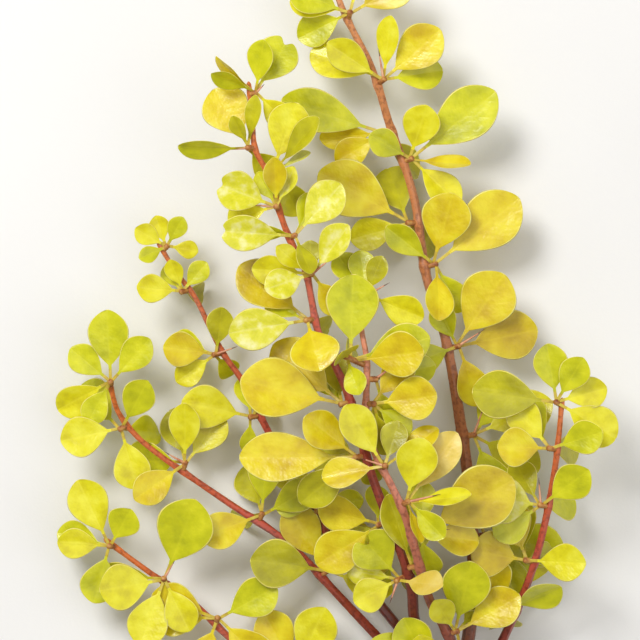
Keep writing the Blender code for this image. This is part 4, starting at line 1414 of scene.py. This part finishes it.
@dataclass
class Thorns(ShootPart):
    """A shoot's thorns, joined: slender, slightly curved, with a dark tip."""

    steps: int = 8
    sides: int = 7
    sag: float = 0.12
    taper: float = 0.8
    tip_radius: float = 0.03
    dark_from: float = 0.72

    def build(self) -> Object | None:
        """Builds the joined thorns.

        Returns:
            The finished object, or None where the shoot has no thorns.
        """
        thorned = [p for p in self.places if p.thorn]
        if not thorned:
            return None
        mesh = bmesh.new()
        shares = [k / self.steps for k in range(self.steps + 1)]
        for place in thorned:
            start, end = place.thorn
            sag = Vector((0.0, 0.0, -self.sag))
            centres = [start.lerp(end, s) + sag * math.sin(math.pi * s) for s in shares]
            radii = [THORN_RADIUS * (1.0 - s) ** self.taper + self.tip_radius for s in shares]
            before = set(mesh.faces)
            Rod(centres, radii, self.sides).add_to(mesh)
            for face in set(mesh.faces) - before:
                away = (face.calc_center_median() - start).length
                if away > self.dark_from * (end - start).length:
                    face.material_index = 1
        bmesh.ops.recalc_face_normals(mesh, faces=mesh.faces)
        return self.finish("thorns", "thorn", mesh, [THORN, THORN_TIP], [p.name for p in thorned])


@dataclass
class Studio:
    """The pale floor, the soft lights and the camera that looks straight down."""

    shift: Vector
    view_centre: tuple = (-33.4, 122.3)
    view_width: float = 178.0
    focus_height: float = 32.0
    lens: float = 150.0
    sensor: float = 36.0
    floor_half: float = 3.0
    floor_drop: float = 0.0002

    def build(self) -> None:
        """Builds the floor, the lights, the sky and the camera."""
        self.floor()
        self.lamp("key", (-0.45, 0.55, 0.9), 0.45, 10.0)
        self.lamp("fill", (0.7, -0.2, 0.7), 0.8, 2.4)
        self.lamp("top", (0.05, 0.1, 1.1), 0.9, 2.4)
        self.sky()
        self.camera()

    def floor(self) -> None:
        """Lays the pale floor that the branch lies on."""
        mesh = bmesh.new()
        bmesh.ops.create_grid(mesh, x_segments=2, y_segments=2, size=self.floor_half)
        bmesh.ops.translate(mesh, vec=(0.0, 0.0, -self.floor_drop), verts=mesh.verts)
        data = bpy.data.meshes.new("pale_floor")
        mesh.to_mesh(data)
        mesh.free()
        data.materials.append(FLOOR.material())
        floor = bpy.data.objects.new("pale_floor", data)
        bpy.context.scene.collection.objects.link(floor)
        floor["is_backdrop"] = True

    @staticmethod
    def lamp(name: str, place: tuple, size: float, power: float) -> None:
        """Hangs a soft square lamp that faces the branch.

        Args:
            name: The lamp's name.
            place: Where it hangs, in metres.
            size: Its side, in metres.
            power: Its power, in watts.
        """
        data = bpy.data.lights.new(name, "AREA")
        data.size = size
        data.energy = power
        lamp = bpy.data.objects.new(name, data)
        lamp.location = place
        lamp.rotation_euler = (-Vector(place)).to_track_quat("-Z", "Y").to_euler()
        bpy.context.scene.collection.objects.link(lamp)

    @staticmethod
    def sky() -> None:
        """Sets an even pale sky, and plain colours that don't wash the yellows out."""
        world = bpy.data.worlds.new("pale_sky")
        world.use_nodes = True
        sky = world.node_tree.nodes["Background"]
        sky.inputs["Color"].default_value = (1.0, 0.98, 0.95, 1.0)
        sky.inputs["Strength"].default_value = 0.3
        bpy.context.scene.world = world
        bpy.context.scene.view_settings.view_transform = "Standard"

    def camera(self) -> None:
        """Hangs the camera over the middle of the photo's view, looking straight down."""
        data = bpy.data.cameras.new("camera")
        data.lens = self.lens
        data.sensor_width = self.sensor
        camera = bpy.data.objects.new("camera", data)
        height = self.focus_height + self.view_width * self.lens / self.sensor
        camera.location = Vector((*self.view_centre, height)) * MM + self.shift
        bpy.context.scene.collection.objects.link(camera)
        bpy.context.scene.camera = camera


def corners(box: tuple) -> list[list[float]]:
    """A box's two corners as plain lists."""
    return [[float(value) for value in corner] for corner in box]


def main() -> None:
    """Builds the branch's looks in order."""
    logging.basicConfig(level=logging.INFO, format="%(name)s %(message)s")
    cad_box = corners(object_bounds())
    plan = Plan().draw()
    shift = Vector(cad_box[1]) - plan.highest() * MM
    log.info("plan to frame: %s", tuple(round(v / MM, 3) for v in shift))
    for name, limb in plan.limbs.items():
        places = [p for p in plan.clusters if p.shoot is limb.shoot]
        for kind in (Bark, Foliage, Spurs, Thorns):
            kind(limb, places, shift).build()
    Studio(shift).build()


if __name__ == "__main__":
    main()
